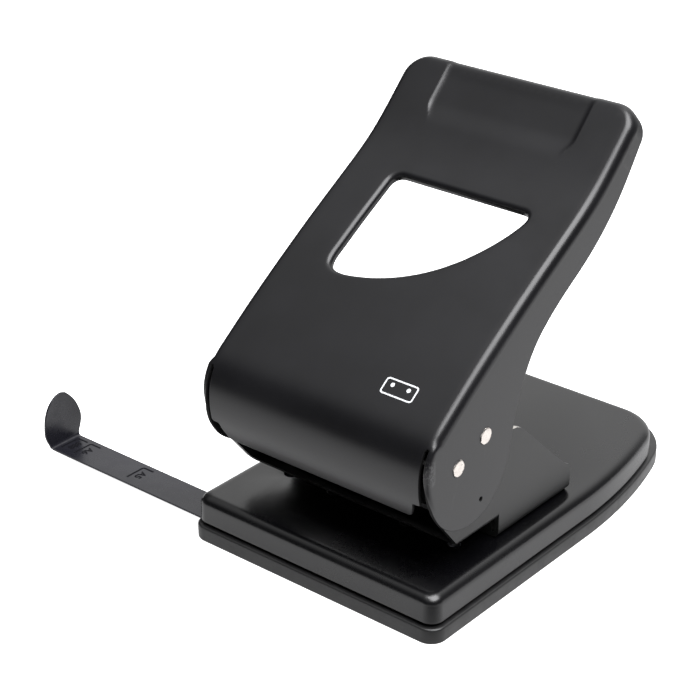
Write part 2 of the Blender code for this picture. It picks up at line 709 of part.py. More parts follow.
# --------------------------------------------------------------- paper guide
def build_paper_guide():
    """Flat strip with an egg-shaped flag standing at its left end."""
    strip = box((GUIDE_FOLD_X, GUIDE_FOLD_X + GUIDE_LENGTH), (GUIDE_Y0, GUIDE_Y1),
                (GUIDE_Z, GUIDE_Z + GUIDE_T))
    half = (GUIDE_Y1 - GUIDE_Y0) / 2
    # half outline of the flag: (distance from its middle, z)
    egg_side = spline([(half - 0.2, GUIDE_Z), (half + 1.2, GUIDE_Z + 4.0),
                       (FLAG_HALF_W, GUIDE_Z + 10.0), (FLAG_HALF_W - 1.5, GUIDE_Z + 16.5),
                       (4.6, GUIDE_Z + 23.0), (0.0, FLAG_TOP_Z)], 3)
    lean, lean_rise = -0.7, 4.0   # the lobe sits slightly forward of the strip's middle
    both = egg_side + [(-u, z) for u, z in reversed(egg_side[:-1])]
    egg = [(GUIDE_MID_Y + u + lean * min(1.0, (z - GUIDE_Z) / lean_rise), z) for u, z in both]
    join(strip, prism([egg], GUIDE_FOLD_X - GUIDE_T / 2, GUIDE_FOLD_X + GUIDE_T / 2, along="X"))
    adopt(strip, "paper_guide", guide_plastic, guide_axis)


def build_guide_rail():
    """Rail that carries the guide strip, and its two screws."""
    rail_top = DIE_LOW_Z - STANDOFF
    # section (y, z): slot open to the front, flange under the die plate behind
    section = [
        (-33.1, 5.3), (-16.4, 5.3), (-16.4, RAIL_FLANGE_Z), (-3.6, RAIL_FLANGE_Z),
        (-3.6, rail_top), (-18.0, rail_top), (-18.0, 9.6), (-33.1, 9.6),
        (-33.1, 8.3), (-18.3, 8.3), (-18.3, 6.6), (-33.1, 6.6)]
    rail = prism([section], -50.0, 50.0, along="X")
    screw_hole_d, notch_half_w = 3.6, 6
    notches_under_pins = [box((x - notch_half_w, x + notch_half_w), (DIE_Y0, 0),
                              (DIE_LOW_Z - 4, DIE_LOW_Z + 2)) for x, _ in PIN_SPOTS]
    cut(rail, *uprights(screw_hole_d, GUIDE_SCREWS, 5, 20, 16), *notches_under_pins)
    adopt(rail, "guide_rail", plastic, base_origin)
    for spot, (side, _) in zip(GUIDE_SCREWS, SIDES):
        fastener("guide_screw_" + side, spot, 1.45, DIE_TOP_Z - 0.4, RAIL_FLANGE_Z - FIT,
                 above=[(0, 0)],
                 below=[(2.7, 0), (2.7, 0.8), (1.8, 1.6), (0, 1.6)])


# ------------------------------------------------------------------ finishes
paint = material("black_paint", colour=(0.020, 0.020, 0.022), roughness=0.38)
dark_paint = material("black_frame_paint", colour=(0.030, 0.031, 0.033), roughness=0.45)
plastic = material("black_plastic", colour=(0.022, 0.022, 0.023), roughness=0.55)
guide_plastic = material("grey_guide_plastic", colour=(0.055, 0.055, 0.062), roughness=0.42)
nickel = material("nickel_rod", colour=(0.72, 0.69, 0.65), roughness=0.28, metallic=1.0)
spring_steel = material("spring_steel", colour=(0.42, 0.42, 0.43), roughness=0.32, metallic=1.0)
zinc = material("zinc_fastener", colour=(0.55, 0.56, 0.58), roughness=0.35, metallic=1.0)

# --------------------------------------------------------------- joint axes
base_origin = anchor("base_origin")
tray_axis = anchor("tray_hinge_axis", y=TRAY_FRONT + 0.4, z=6.9)
lever_axis = anchor("lever_hinge_axis", y=PIVOT[0], z=PIVOT[1])
guide_axis = anchor("paper_guide_axis", x=GUIDE_FOLD_X, y=GUIDE_MID_Y, z=GUIDE_Z)
pin_axis = {side: anchor("punch_pin_axis_" + side, x=x, z=PIN_TIP_Z)
            for (side, _), (x, _) in zip(SIDES, PIN_SPOTS)}

# ------------------------------------------------------------------ assembly
build_chip_tray()
build_base_pan()
build_die_plate()
build_punch_frame()
build_pin_bridge()
build_spring_shield()
for (pin_side, _), (pin_x, _) in zip(SIDES, PIN_SPOTS):
    build_pin(pin_side, pin_x)
    build_return_spring(pin_side, pin_x)
build_lever()
build_cross_rods()
build_paper_guide()
build_guide_rail()
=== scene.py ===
# A two-hole paper punch: a pressed steel lever over a punch frame, on a sheet base
# pan set in a plastic chip tray, with a sliding paper guide drawn out to the left.
# X runs left to right, +Y from the front edge to the rear, +Z up; the floor is z = 0
# and the two punch pins stand at y = 0. Sizes are in millimetres unless noted.
import math

import bmesh
import bpy
import numpy as np
from mathutils import Matrix, Vector
from mathutils.geometry import delaunay_2d_cdt


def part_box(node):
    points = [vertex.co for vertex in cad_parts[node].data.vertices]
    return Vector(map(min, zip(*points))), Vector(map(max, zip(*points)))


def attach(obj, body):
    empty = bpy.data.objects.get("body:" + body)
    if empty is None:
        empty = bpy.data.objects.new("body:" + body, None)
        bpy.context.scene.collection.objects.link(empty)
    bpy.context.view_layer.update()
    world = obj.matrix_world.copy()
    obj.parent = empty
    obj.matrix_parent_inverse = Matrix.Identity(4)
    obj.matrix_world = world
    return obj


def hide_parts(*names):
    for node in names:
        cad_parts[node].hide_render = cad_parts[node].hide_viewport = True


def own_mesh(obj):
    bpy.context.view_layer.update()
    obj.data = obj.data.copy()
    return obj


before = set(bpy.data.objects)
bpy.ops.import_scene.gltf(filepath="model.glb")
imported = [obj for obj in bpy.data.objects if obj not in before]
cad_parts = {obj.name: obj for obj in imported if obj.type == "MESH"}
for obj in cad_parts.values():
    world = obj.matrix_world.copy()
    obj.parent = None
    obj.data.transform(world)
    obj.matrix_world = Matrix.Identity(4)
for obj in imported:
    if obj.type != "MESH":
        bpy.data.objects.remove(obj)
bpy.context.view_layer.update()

MM = 0.001
scene = bpy.context.scene

# places shared by several pieces
SIDES = (("left", -1), ("right", 1))
PIVOT, PRESS = (-17.2, 62.9), (-1.4, 69.3)      # (y, z) of the lever axle and press bar
ROD_R = 3.4
PIN_X = 40.0
FRAME_RIVETS = ((-34, 24), (34, 24), (-34, 48), (34, 48))

# ---------------------------------------------------------------------------
# paths and outlines
# ---------------------------------------------------------------------------


def run_lengths(points):
    """Length travelled along a polyline at each of its points."""
    return np.r_[0, np.cumsum(np.hypot(*np.diff(points, axis=0).T))]


class Path:
    """A smooth (C2) path through knots, addressed by its arc length."""

    def __init__(self, knots):
        knots = np.array(knots, float)
        chord = run_lengths(knots)
        count, gap = len(knots), np.diff(chord)
        # natural spline: solve for the second derivatives at the knots
        system, load = np.eye(count), np.zeros((count, 2))
        for i in range(1, count - 1):
            system[i, i - 1:i + 2] = gap[i - 1], 2 * (gap[i - 1] + gap[i]), gap[i]
            load[i] = 6 * ((knots[i + 1] - knots[i]) / gap[i]
                           - (knots[i] - knots[i - 1]) / gap[i - 1])
        curl = np.linalg.solve(system, load)
        place = np.linspace(0, chord[-1], 2400)
        i = np.clip(np.searchsorted(chord, place, side="right") - 1, 0, count - 2)
        before = ((chord[i + 1] - place) / gap[i])[:, None]
        after = ((place - chord[i]) / gap[i])[:, None]
        bow = (before**3 - before) * curl[i] + (after**3 - after) * curl[i + 1]
        self.points = before * knots[i] + after * knots[i + 1] + bow * (gap[i] ** 2)[:, None] / 6
        self.runs = run_lengths(self.points)
        slope = np.gradient(self.points, self.runs, axis=0)
        self.tangents = slope / np.linalg.norm(slope, axis=1)[:, None]
        self.length = self.runs[-1]

    def look_up(self, run, table):
        return np.stack([np.interp(run, self.runs, table[:, c]) for c in (0, 1)], -1)

    def at(self, run):
        """Points at these arc lengths; straight on past the end."""
        run = np.asarray(run, float)
        over = np.maximum(run - self.length, 0)[..., None]
        return self.look_up(run, self.points) + over * self.tangents[-1]

    def tangent(self, run):
        along = self.look_up(run, self.tangents)
        return along / np.linalg.norm(along, axis=-1, keepdims=True)

    def spaced(self, count):
        """That many evenly spaced points, as tuples."""
        return [tuple(p) for p in self.at(np.linspace(0, self.length, count))]


def arc(cx, cy, radius, start, end, steps):
    angles = [math.radians(start + (end - start) * i / steps) for i in range(steps + 1)]
    return [(cx + radius * math.cos(a), cy + radius * math.sin(a)) for a in angles]


def circle(cx, cy, diameter, sides=48):
    return arc(cx, cy, diameter / 2, 0, 360 - 360 / sides, sides - 1)


def round_rect(cx, cy, width, height, radius):
    dx, dy = width / 2, height / 2
    return (arc(cx + dx - radius, cy - dy + radius, radius, -90, 0, 5)
            + arc(cx + dx - radius, cy + dy - radius, radius, 0, 90, 5)
            + arc(cx - dx + radius, cy + dy - radius, radius, 90, 180, 5)
            + arc(cx - dx + radius, cy - dy + radius, radius, 180, 270, 5))


def smooth(t):
    t = np.clip(t, 0, 1)
    return t * t * (3 - 2 * t)


def inside(loop, points):
    """Even-odd test of many points against one closed loop."""
    loop, points = np.asarray(loop, float), np.asarray(points, float)
    x, y = points[:, 0], points[:, 1]
    odd = np.zeros(len(points), bool)
    for (x0, y0), (x1, y1) in zip(loop, np.roll(loop, -1, axis=0)):
        if y0 == y1:
            continue
        crossed = (y0 > y) != (y1 > y)
        odd ^= crossed & (x < (x1 - x0) * (y - y0) / (y1 - y0) + x0)
    return odd


def distance_to(loop, points):
    """Distance of many points to a closed loop."""
    loop, points = np.asarray(loop, float), np.asarray(points, float)
    best = np.full(len(points), 1e9)
    for start, end in zip(loop, np.roll(loop, -1, axis=0)):
        leg = end - start
        t = np.clip(((points - start) @ leg) / max(leg @ leg, 1e-12), 0, 1)
        best = np.minimum(best, np.linalg.norm(points - (start + t[:, None] * leg), axis=1))
    return best


def resample(loop, step):
    """A closed loop with its points evenly spaced, about a step apart."""
    loop = np.array(loop, float)
    loop = np.vstack([loop, loop[:1]])
    runs = run_lengths(loop)
    count = max(3, int(round(runs[-1] / step)))
    place = np.linspace(0, runs[-1], count + 1)
    return np.stack([np.interp(place, runs, loop[:, c]) for c in (0, 1)], -1)[:-1]


def counter_clockwise(loop):
    return loop[::-1] if np.cross(loop, np.roll(loop, -1, axis=0)).sum() < 0 else loop


def grow(loop, distance):
    """A counter-clockwise loop moved outwards."""
    loop = np.asarray(loop, float)
    along = np.roll(loop, -1, axis=0) - np.roll(loop, 1, axis=0)
    along /= np.linalg.norm(along, axis=1)[:, None]
    return loop + distance * np.c_[along[:, 1], -along[:, 0]]


def triangulate(outer, holes=(), loops=(), points=()):
    """Fills an outline that has holes; loops and points are kept as vertices."""
    verts, edges = [], []
    for loop in [outer, *holes, *loops]:
        first = len(verts)
        verts += [tuple(p) for p in loop]
        edges += [(first + i, first + (i + 1) % len(loop)) for i in range(len(loop))]
    verts += [tuple(p) for p in points]
    result = delaunay_2d_cdt([Vector(v) for v in verts], edges, [], 0, 1e-5)
    flat = np.array([tuple(v) for v in result[0]], float)
    triangles = [f for f in result[2] if len(f) == 3]
    middle = np.array([flat[list(f)].mean(0) for f in triangles])
    keep = inside(outer, middle)
    for hole in holes:
        keep &= ~inside(hole, middle)
    wound = []
    for f in (f for f, kept in zip(triangles, keep) if kept):
        a, b, c = flat[list(f)]
        area = (b[0] - a[0]) * (c[1] - a[1]) - (b[1] - a[1]) * (c[0] - a[0])
        if abs(area) > 1e-9:
            wound.append(tuple(f) if area > 0 else tuple(reversed(f)))
    return flat, wound


# ---------------------------------------------------------------------------
# meshes
# ---------------------------------------------------------------------------


def link(name, data):
    obj = bpy.data.objects.new(name, data)
    scene.collection.objects.link(obj)
    return obj


def evaluated_mesh(obj, **options):
    bpy.context.view_layer.update()
    graph = bpy.context.evaluated_depsgraph_get()
    return bpy.data.meshes.new_from_object(obj.evaluated_get(graph), **options)


def make(name, verts, faces, angle=35.0):
    """A named object from points in millimetres."""
    mesh = bpy.data.meshes.new(name)
    mesh.from_pydata([tuple(float(c) * MM for c in v) for v in verts], [],
                     [tuple(int(i) for i in f) for f in faces])
    bm = bmesh.new()
    bm.from_mesh(mesh)
    bmesh.ops.remove_doubles(bm, verts=bm.verts, dist=2e-6)
    bmesh.ops.dissolve_degenerate(bm, dist=1e-7, edges=bm.edges)
    bmesh.ops.delete(bm, geom=[v for v in bm.verts if not v.link_faces], context="VERTS")
    bmesh.ops.recalc_face_normals(bm, faces=bm.faces)
    bm.to_mesh(mesh)
    bm.free()
    mesh.validate()
    obj = link(name, mesh)
    mesh.shade_smooth()
    mesh.set_sharp_from_angle(angle=math.radians(angle))
    return obj


class Skin:
    """The outer face of a piece of sheet, gathered from patches, then given
    its thickness and rounded cut edges."""

    def __init__(self):
        self.verts, self.faces = [], []

    def add(self, verts, faces, flip=False):
        first = len(self.verts)
        self.verts += [tuple(float(c) for c in p) for p in verts]
        for f in faces:
            f = tuple(first + int(i) for i in f)
            self.faces.append(tuple(reversed(f)) if flip else f)

    def grid(self, rows, closed=False, flip=False):
        """rows[i][k]: faces wind from i along k."""
        count, width = len(rows), len(rows[0])
        faces = []
        for i in range(count if closed else count - 1):
            j = (i + 1) % count
            for k in range(width - 1):
                faces.append((i * width + k, i * width + k + 1,
                              j * width + k + 1, j * width + k))
        self.add([p for row in rows for p in row], faces, flip)

    def welded(self, name):
        """Points, normals, faces and open rim edges of the joined patches."""
        mesh = bpy.data.meshes.new(name)
        mesh.from_pydata(self.verts, [], self.faces)
        bm = bmesh.new()
        bm.from_mesh(mesh)
        bmesh.ops.remove_doubles(bm, verts=bm.verts, dist=3e-3)
        bmesh.ops.dissolve_degenerate(bm, dist=1e-4, edges=bm.edges)
        bmesh.ops.delete(bm, geom=[v for v in bm.verts if not v.link_faces], context="VERTS")
        bm.normal_update()
        bm.verts.index_update()
        outer = [v.co.copy() for v in bm.verts]
        normals = [v.normal.copy() for v in bm.verts]
        faces = [tuple(v.index for v in f.verts) for f in bm.faces]
        rim = []
        for edge in bm.edges:
            if len(edge.link_loops) == 1:
                loop = edge.link_loops[0]
                rim.append((loop.vert.index, loop.link_loop_next.vert.index))
        bm.free()
        return outer, normals, faces, rim

    @staticmethod
    def outward(outer, normals, rim):
        """Direction in which each rim vertex bulges, lengthened at corners."""
        sideways = {}
        for a, b in rim:
            along = (outer[b] - outer[a]).normalized()
            for i in (a, b):
                sideways.setdefault(i, []).append(along.cross(normals[i]).normalized())
        away = {}
        for i, directions in sideways.items():
            total = sum(directions, Vector((0, 0, 0)))
            if total.length < 1e-6:
                total = directions[0]
            total.normalize()
            away[i] = total * min(1.35, 1.0 / max(0.3, total.dot(directions[0])))
        return away

    def solid(self, name, thickness, edge, inner=False):
        """With inner set, faces clear of the outer skin get the second material."""
        outer, normals, faces, rim = self.welded(name)
        count = len(outer)
        verts = [tuple(p) for p in outer]
        verts += [tuple(p - thickness * normal) for p, normal in zip(outer, normals)]
        all_faces = faces + [tuple(count + i for i in reversed(f)) for f in faces]
        # (bulge, depth) steps round the cut edge
        half = min(edge, thickness * 0.45)
        steps = [(math.sin(math.radians(a)) * half, (1 - math.cos(math.radians(a))) * half)
                 for a in (30, 60, 90)]
        steps += [(bulge, thickness - depth) for bulge, depth in reversed(steps)]
        chains = {}
        for i, away in self.outward(outer, normals, rim).items():
            chains[i] = [i]
            for bulge, depth in steps:
                verts.append(tuple(outer[i] + away * bulge - normals[i] * depth))
                chains[i].append(len(verts) - 1)
            chains[i].append(count + i)
        sharp = set()
        for a, b in rim:
            near, far = chains[a], chains[b]
            for j in range(len(near) - 1):
                all_faces.append((far[j], near[j], near[j + 1], far[j + 1]))
            sharp.add(frozenset((a, b)))
            sharp.add(frozenset((count + a, count + b)))
        mesh = bpy.data.meshes.new(name)
        mesh.from_pydata([tuple(c * MM for c in p) for p in verts], [], all_faces)
        mesh.validate()
        mesh.shade_smooth()
        mesh.set_sharp_from_angle(angle=math.radians(52.0))
        flags = (mesh.attributes.get("sharp_edge")
                 or mesh.attributes.new("sharp_edge", "BOOLEAN", "EDGE"))
        for mesh_edge in mesh.edges:
            if frozenset(mesh_edge.vertices) in sharp:
                flags.data[mesh_edge.index].value = True
        if inner:
            behind = np.array([min(p.vertices) >= count for p in mesh.polygons], np.int32)
            mesh.polygons.foreach_set("material_index", behind)
        obj = bpy.data.objects.new(name, mesh)
        obj["inner_faces"] = inner
        scene.collection.objects.link(obj)
        return obj


def lathe(name, profile, centre, axis="Z", sides=64, angle=30.0):
    """Turned piece: profile is (radius, height) going once round its section.
    A profile that starts and ends on the axis is solid, else it closes on
    itself round a bore."""
    solid = profile[0][0] < 1e-6 and profile[-1][0] < 1e-6
    verts, faces = [], []
    count = len(profile)
    for i in range(sides):
        turn = math.tau * i / sides
        verts += [(r * math.cos(turn), r * math.sin(turn), height) for r, height in profile]
        here, after = i * count, (i + 1) % sides * count
        for k in range(count - 1 if solid else count):
            m = (k + 1) % count
            quad = [here + k, here + m, after + m, after + k]
            if profile[k][0] < 1e-6:
                quad.pop(3)
            elif profile[m][0] < 1e-6:
                quad.pop(2)
            faces.append(quad)
    if axis == "X":
        verts = [(z, x, y) for x, y, z in verts]
    cx, cy, cz = centre
    return make(name, [(x + cx, y + cy, z + cz) for x, y, z in verts], faces, angle)


def prism(name, loops, low, high, along="Z"):
    """An outline with holes, drawn from low to high along one axis."""
    flat, triangles = triangulate(loops[0], loops[1:])
    count = len(flat)

    def place(point, level):
        u, v = point
        return {"Z": (u, v, level), "X": (level, u, v), "Y": (u, level, v)}[along]

    verts = [place(p, low) for p in flat] + [place(p, high) for p in flat]
    faces = [tuple(reversed(t)) for t in triangles]
    faces += [tuple(count + i for i in t) for t in triangles]
    uses = {}
    for t in triangles:
        for a, b in ((t[0], t[1]), (t[1], t[2]), (t[2], t[0])):
            uses.setdefault(frozenset((a, b)), []).append((a, b))
    for directed in uses.values():
        if len(directed) == 1:
            a, b = directed[0]
            faces.append((a, b, count + b, count + a))
    return make(name, verts, faces)


def brick(name, x0, x1, y0, y1, z0, z1):
    return prism(name, [[(x0, y0), (x1, y0), (x1, y1), (x0, y1)]], z0, z1)


def bar(diameter, start, length, axis="Z", sides=64):
    """Round cutting bar from start along an axis."""
    radius = diameter / 2
    profile = [(0, 0), (radius, 0), (radius, length), (0, length)]
    return lathe("cutting_bar", profile, start, axis, sides)


def carve(obj, tools, how="DIFFERENCE"):
    """Applies each tool to obj in turn and removes it."""
    for tool in tools:
        cut = obj.modifiers.new("cut", "BOOLEAN")
        cut.operation, cut.solver, cut.object = how, "EXACT", tool
        mesh = evaluated_mesh(obj)
        obj.modifiers.clear()
        old = obj.data
        obj.data = mesh
        bpy.data.meshes.remove(old)
        bpy.data.objects.remove(tool, do_unlink=True)
    return obj


def bevelled(obj, width, angle=35.0):
    """Rounds an object's edges, applied to its mesh."""
    bm = bmesh.new()
    bm.from_mesh(obj.data)
    bmesh.ops.remove_doubles(bm, verts=bm.verts, dist=2e-6)
    bmesh.ops.dissolve_limit(bm, angle_limit=math.radians(0.5), verts=bm.verts, edges=bm.edges)
    bm.to_mesh(obj.data)
    bm.free()
    bevel = obj.modifiers.new("bevel", "BEVEL")
    bevel.width, bevel.segments, bevel.limit_method = width * MM, 2, "ANGLE"
    bevel.angle_limit = math.radians(angle)
    bevel.use_clamp_overlap = True
    obj.modifiers.new("normals", "WEIGHTED_NORMAL").keep_sharp = True
    bpy.context.view_layer.update()
    obj.data.shade_smooth()
    mesh = evaluated_mesh(obj, preserve_all_data_layers=True,
                          depsgraph=bpy.context.evaluated_depsgraph_get())
    obj.modifiers.clear()
    obj.data = mesh
    return obj


# ---------------------------------------------------------------------------
# shader nodes
# ---------------------------------------------------------------------------


class Nodes:
    """Small helper for writing a node tree top-down."""

    def __init__(self, tree, coordinates):
        self.tree = tree
        self.place = tree.nodes.new("ShaderNodeTexCoord").outputs[coordinates]

    def plug(self, slot, value):
        if isinstance(value, bpy.types.NodeSocket):
            self.tree.links.new(value, slot)
        else:
            slot.default_value = value

    def new(self, kind, **inputs):
        """Input names are written with underscores for spaces."""
        node = self.tree.nodes.new(kind)
        for key, value in inputs.items():
            self.plug(node.inputs[key.replace("_", " ")], value)
        return node

    def noise(self, scale, detail=3.0, rough=0.55, stretch=None, distortion=0.0):
        place = self.place
        if stretch:
            place = self.new("ShaderNodeMapping", Vector=place, Scale=stretch).outputs[0]
        return self.new("ShaderNodeTexNoise", Vector=place, Scale=scale, Detail=detail,
                        Roughness=rough, Distortion=distortion).outputs["Fac"]

    def ramp(self, value, low, high, start=0.0, end=1.0):
        """Eases from start to end as value goes from low to high."""
        node = self.new("ShaderNodeMapRange", Value=value, From_Min=low, From_Max=high,
                        To_Min=start, To_Max=end)
        node.interpolation_type = "SMOOTHSTEP"
        return node.outputs[0]

    def patches(self, low, high, **noise):
        return self.ramp(self.noise(**noise), low, high)

    def math(self, operation, *values):
        node = self.tree.nodes.new("ShaderNodeMath")
        node.operation = operation
        for slot, value in zip(node.inputs, values):
            self.plug(slot, value)
        return node.outputs[0]

    def product(self, first, *others):
        for other in others:
            first = self.math("MULTIPLY", first, other)
        return first

    def mix(self, factor, off, on):
        """Colour: off where factor is 0, on where it is 1."""
        node = self.tree.nodes.new("ShaderNodeMix")
        node.data_type = "RGBA"
        for i, value in ((0, factor), (6, off), (7, on)):
            self.plug(node.inputs[i], (*value, 1.0) if isinstance(value, tuple) else value)
        return node.outputs[2]

    def lerp(self, factor, off, on):
        """Number: off where factor is 0, on where it is 1."""
        node = self.tree.nodes.new("ShaderNodeMix")
        node.data_type = "FLOAT"
        for i, value in ((0, factor), (2, off), (3, on)):
            self.plug(node.inputs[i], value)
        return node.outputs[0]

    def split(self, vector):
        return self.new("ShaderNodeSeparateXYZ", Vector=vector).outputs

    def distance(self, point):
        node = self.tree.nodes.new("ShaderNodeVectorMath")
        node.operation = "DISTANCE"
        self.plug(node.inputs[0], self.place)
        self.plug(node.inputs[1], point)
        return node.outputs["Value"]

    def geometry(self, output):
        return self.new("ShaderNodeNewGeometry").outputs[output]

    def edges(self, low=0.53, high=0.60):
        return self.ramp(self.geometry("Pointiness"), low, high)

    def bump(self, *layers):
        """layers: (height socket, distance in mm), added one on another."""
        normal = None
        for height, distance in layers:
            node = self.new("ShaderNodeBump", Height=height, Distance=distance * MM, Strength=1.0)
            if normal is not None:
                self.plug(node.inputs["Normal"], normal)
            normal = node.outputs[0]
        return normal


class Surface(Nodes):
    """Nodes of a new material, feeding its Principled BSDF."""

    def __init__(self, name):
        self.material = bpy.data.materials.new(name)
        self.material.use_nodes = True
        super().__init__(self.material.node_tree, "Object")

    def out(self, **inputs):
        shader = self.tree.nodes["Principled BSDF"]
        for key, value in inputs.items():
            self.plug(shader.inputs[key.replace("_", " ")], value)
        return self.material


def tinted(colour, factor):
    return tuple(c * factor for c in colour)


# ---------------------------------------------------------------------------
# materials
# ---------------------------------------------------------------------------


def bare_edge(paint, spot_y, spot_z):
    """Mask of the upward cut edges round one (y, z) spot."""
    place = paint.split(paint.place)
    normal = paint.split(paint.geometry("Normal"))
    off_y = paint.math("ABSOLUTE", paint.math("SUBTRACT", place["Y"], spot_y * MM))
    return paint.product(
        paint.ramp(off_y, low=4.2 * MM, high=2.6 * MM),
        paint.ramp(place["Z"], low=(spot_z - 2.4) * MM, high=(spot_z - 1.2) * MM),
        paint.ramp(normal["Z"], low=0.30, high=0.55),
        paint.patches(low=0.36, high=0.50, scale=800, detail=4, rough=0.6))


def flange_front(paint):
    """Mask of part of the front edge of each lever flange."""
    place = paint.split(paint.place)
    across = paint.math("ABSOLUTE", place["X"])
    height = paint.product(paint.ramp(place["Z"], low=61.5 * MM, high=64.0 * MM),
                           paint.ramp(place["Z"], low=73.0 * MM, high=70.0 * MM))
    return paint.product(paint.ramp(across, low=50.4 * MM, high=51.0 * MM),
                         paint.ramp(place["Y"], low=-30.4 * MM, high=-31.8 * MM), height)


def powder_coat(name, base, rough, wear, sheen=1.0, bare=None, chips=False):
    """Satin black paint on steel: orange peel, fine speckle, rubbed edges and
    the odd scuff. bare is the (y, z) of a spot rubbed to the metal."""
    paint = Surface(name)
    cloud = paint.noise(scale=26, detail=4)
    fine = paint.noise(scale=2600, detail=2, rough=0.6)
    peel = paint.noise(scale=620, detail=2, rough=0.5)
    scuff = paint.patches(low=0.66, high=0.78, scale=160, detail=6, rough=0.75,
                          stretch=(1.0, 0.22, 0.22))
    speckle_strength, grain_swing, scuff_polish = 0.15, 0.025, 0.04
    colour = paint.mix(paint.ramp(cloud, low=0.3, high=0.7),
                       off=tinted(base, 0.82), on=tinted(base, 1.25))
    speckle = paint.product(paint.ramp(fine, low=0.62, high=0.75), speckle_strength)
    colour = paint.mix(speckle, colour, on=tinted(base, 2.4))
    worn = paint.product(
        paint.edges(), paint.patches(low=0.42, high=0.62, scale=240, detail=4, rough=0.7), wear)
    colour = paint.mix(worn, colour, on=(0.22, 0.21, 0.20))
    roughness = paint.lerp(paint.ramp(cloud, low=0.25, high=0.75),
                           off=rough - 0.025, on=rough + 0.025)
    grain = paint.product(paint.math("SUBTRACT", fine, 0.5), grain_swing)
    roughness = paint.math("ADD", roughness, grain)
    roughness = paint.math("SUBTRACT", roughness, paint.product(scuff, scuff_polish))
    metal = 0.0
    if bare:
        metal = bare_edge(paint, *bare)
        colour = paint.mix(metal, colour, on=(0.72, 0.69, 0.64))
        roughness = paint.lerp(metal, roughness, on=0.35)
    peel_depth = 0.008
    layers = [(peel, peel_depth), (fine, peel_depth * 0.15)]
    if chips:
        # wrinkled, flaking paint
        chip_strength, wrinkle_depth = 0.7, 0.18
        zone = flange_front(paint)
        flake = paint.noise(scale=900, detail=3, rough=0.6, distortion=0.6)
        bits = paint.product(zone, paint.ramp(flake, low=0.52, high=0.57))
        colour = paint.mix(paint.product(bits, chip_strength), colour, on=(0.060, 0.060, 0.062))
        roughness = paint.lerp(bits, roughness, on=0.42)
        layers.append((paint.product(zone, flake), wrinkle_depth))
    return paint.out(Base_Color=colour, Roughness=roughness, Metallic=metal,
                     Normal=paint.bump(*layers), Specular_IOR_Level=0.5 * sheen)


def moulded(name, base, rough, grain=0.012, streak=None):
    """Injection-moulded plastic with a fine spark-eroded grain, grain mm deep."""
    plastic = Surface(name)
    cell_share, edge_strength = 0.6, 0.22
    cloud = plastic.patches(low=0.3, high=0.7, scale=30, detail=3, stretch=streak)
    cells = plastic.new("ShaderNodeTexVoronoi", Vector=plastic.place, Scale=1500.0)
    height = plastic.math("ADD", plastic.product(cells.outputs["Distance"], cell_share),
                          plastic.noise(scale=2200, detail=3, rough=0.6))
    colour = plastic.mix(cloud, off=tinted(base, 0.88), on=tinted(base, 1.18))
    colour = plastic.mix(plastic.product(plastic.edges(low=0.52, high=0.60), edge_strength),
                         colour, on=tinted(base, 3.2))
    roughness = plastic.lerp(plastic.patches(low=0.3, high=0.7, scale=210, detail=3),
                             off=rough - 0.05, on=rough + 0.05)
    return plastic.out(Base_Color=colour, Roughness=roughness,
                       Normal=plastic.bump((height, grain)), Specular_IOR_Level=0.5)


def plated(name, base, rough, stretch=(1, 1, 1), grime=0.35):
    """Plated or oiled steel with draw lines and spots of grime."""
    steel = Surface(name)
    lines = steel.noise(scale=900, detail=3, rough=0.6, stretch=stretch)
    spots = steel.patches(low=0.58, high=0.74, scale=420, detail=5, rough=0.7)
    colour = steel.mix(steel.patches(low=0.3, high=0.7, scale=90, detail=4),
                       off=tinted(base, 0.86), on=base)
    colour = steel.mix(steel.product(spots, grime), colour, on=tinted(base, 0.35))
    roughness = steel.lerp(steel.ramp(lines, low=0.3, high=0.7),
                           off=rough - 0.06, on=rough + 0.10)
    return steel.out(Base_Color=colour, Metallic=1.0, Roughness=roughness,
                     Normal=steel.bump((lines, 0.008)))


def rod_steel(name, base, centres, radius):
    """Bright rod ends with paint left clinging round their rims."""
    steel = Surface(name)
    place = steel.split(steel.place)
    from_axis = None
    for cy, cz in centres:
        dy = steel.math("SUBTRACT", place["Y"], cy * MM)
        dz = steel.math("SUBTRACT", place["Z"], cz * MM)
        squares = steel.math("ADD", steel.product(dy, dy), steel.product(dz, dz))
        reach = steel.math("SQRT", squares)
        from_axis = reach if from_axis is None else steel.math("MINIMUM", from_axis, reach)
    ragged_width = 2.3 * MM
    uneven = steel.math("SUBTRACT", steel.noise(scale=520, detail=4, rough=0.65), 0.5)
    ragged = steel.math("ADD", from_axis, steel.product(uneven, ragged_width))
    paint = steel.ramp(ragged, low=(radius - 0.34) * MM, high=(radius - 0.18) * MM)
    fleck = steel.patches(low=0.66, high=0.69, scale=900, detail=3, rough=0.6)
    paint = steel.math("MAXIMUM", paint, fleck)
    across = steel.math("ABSOLUTE", place["X"])
    paint = steel.product(paint, steel.ramp(across, low=53.2 * MM, high=53.5 * MM))
    # blacked between the flanges
    paint = steel.math("MAXIMUM", paint, steel.ramp(across, low=53.0 * MM, high=52.7 * MM))
    hammered = steel.noise(scale=700, detail=3, rough=0.6)
    colour = steel.mix(steel.patches(low=0.3, high=0.7, scale=260, detail=4),
                       off=tinted(base, 0.86), on=base)
    colour = steel.mix(paint, colour, on=(0.018, 0.017, 0.017))
    bright = steel.lerp(steel.ramp(hammered, low=0.3, high=0.7), off=0.22, on=0.40)
    return steel.out(Base_Color=colour, Metallic=steel.lerp(paint, off=1.0, on=0.0),
                     Roughness=steel.lerp(paint, off=bright, on=0.55),
                     Normal=steel.bump((hammered, 0.05), (paint, 0.06)))


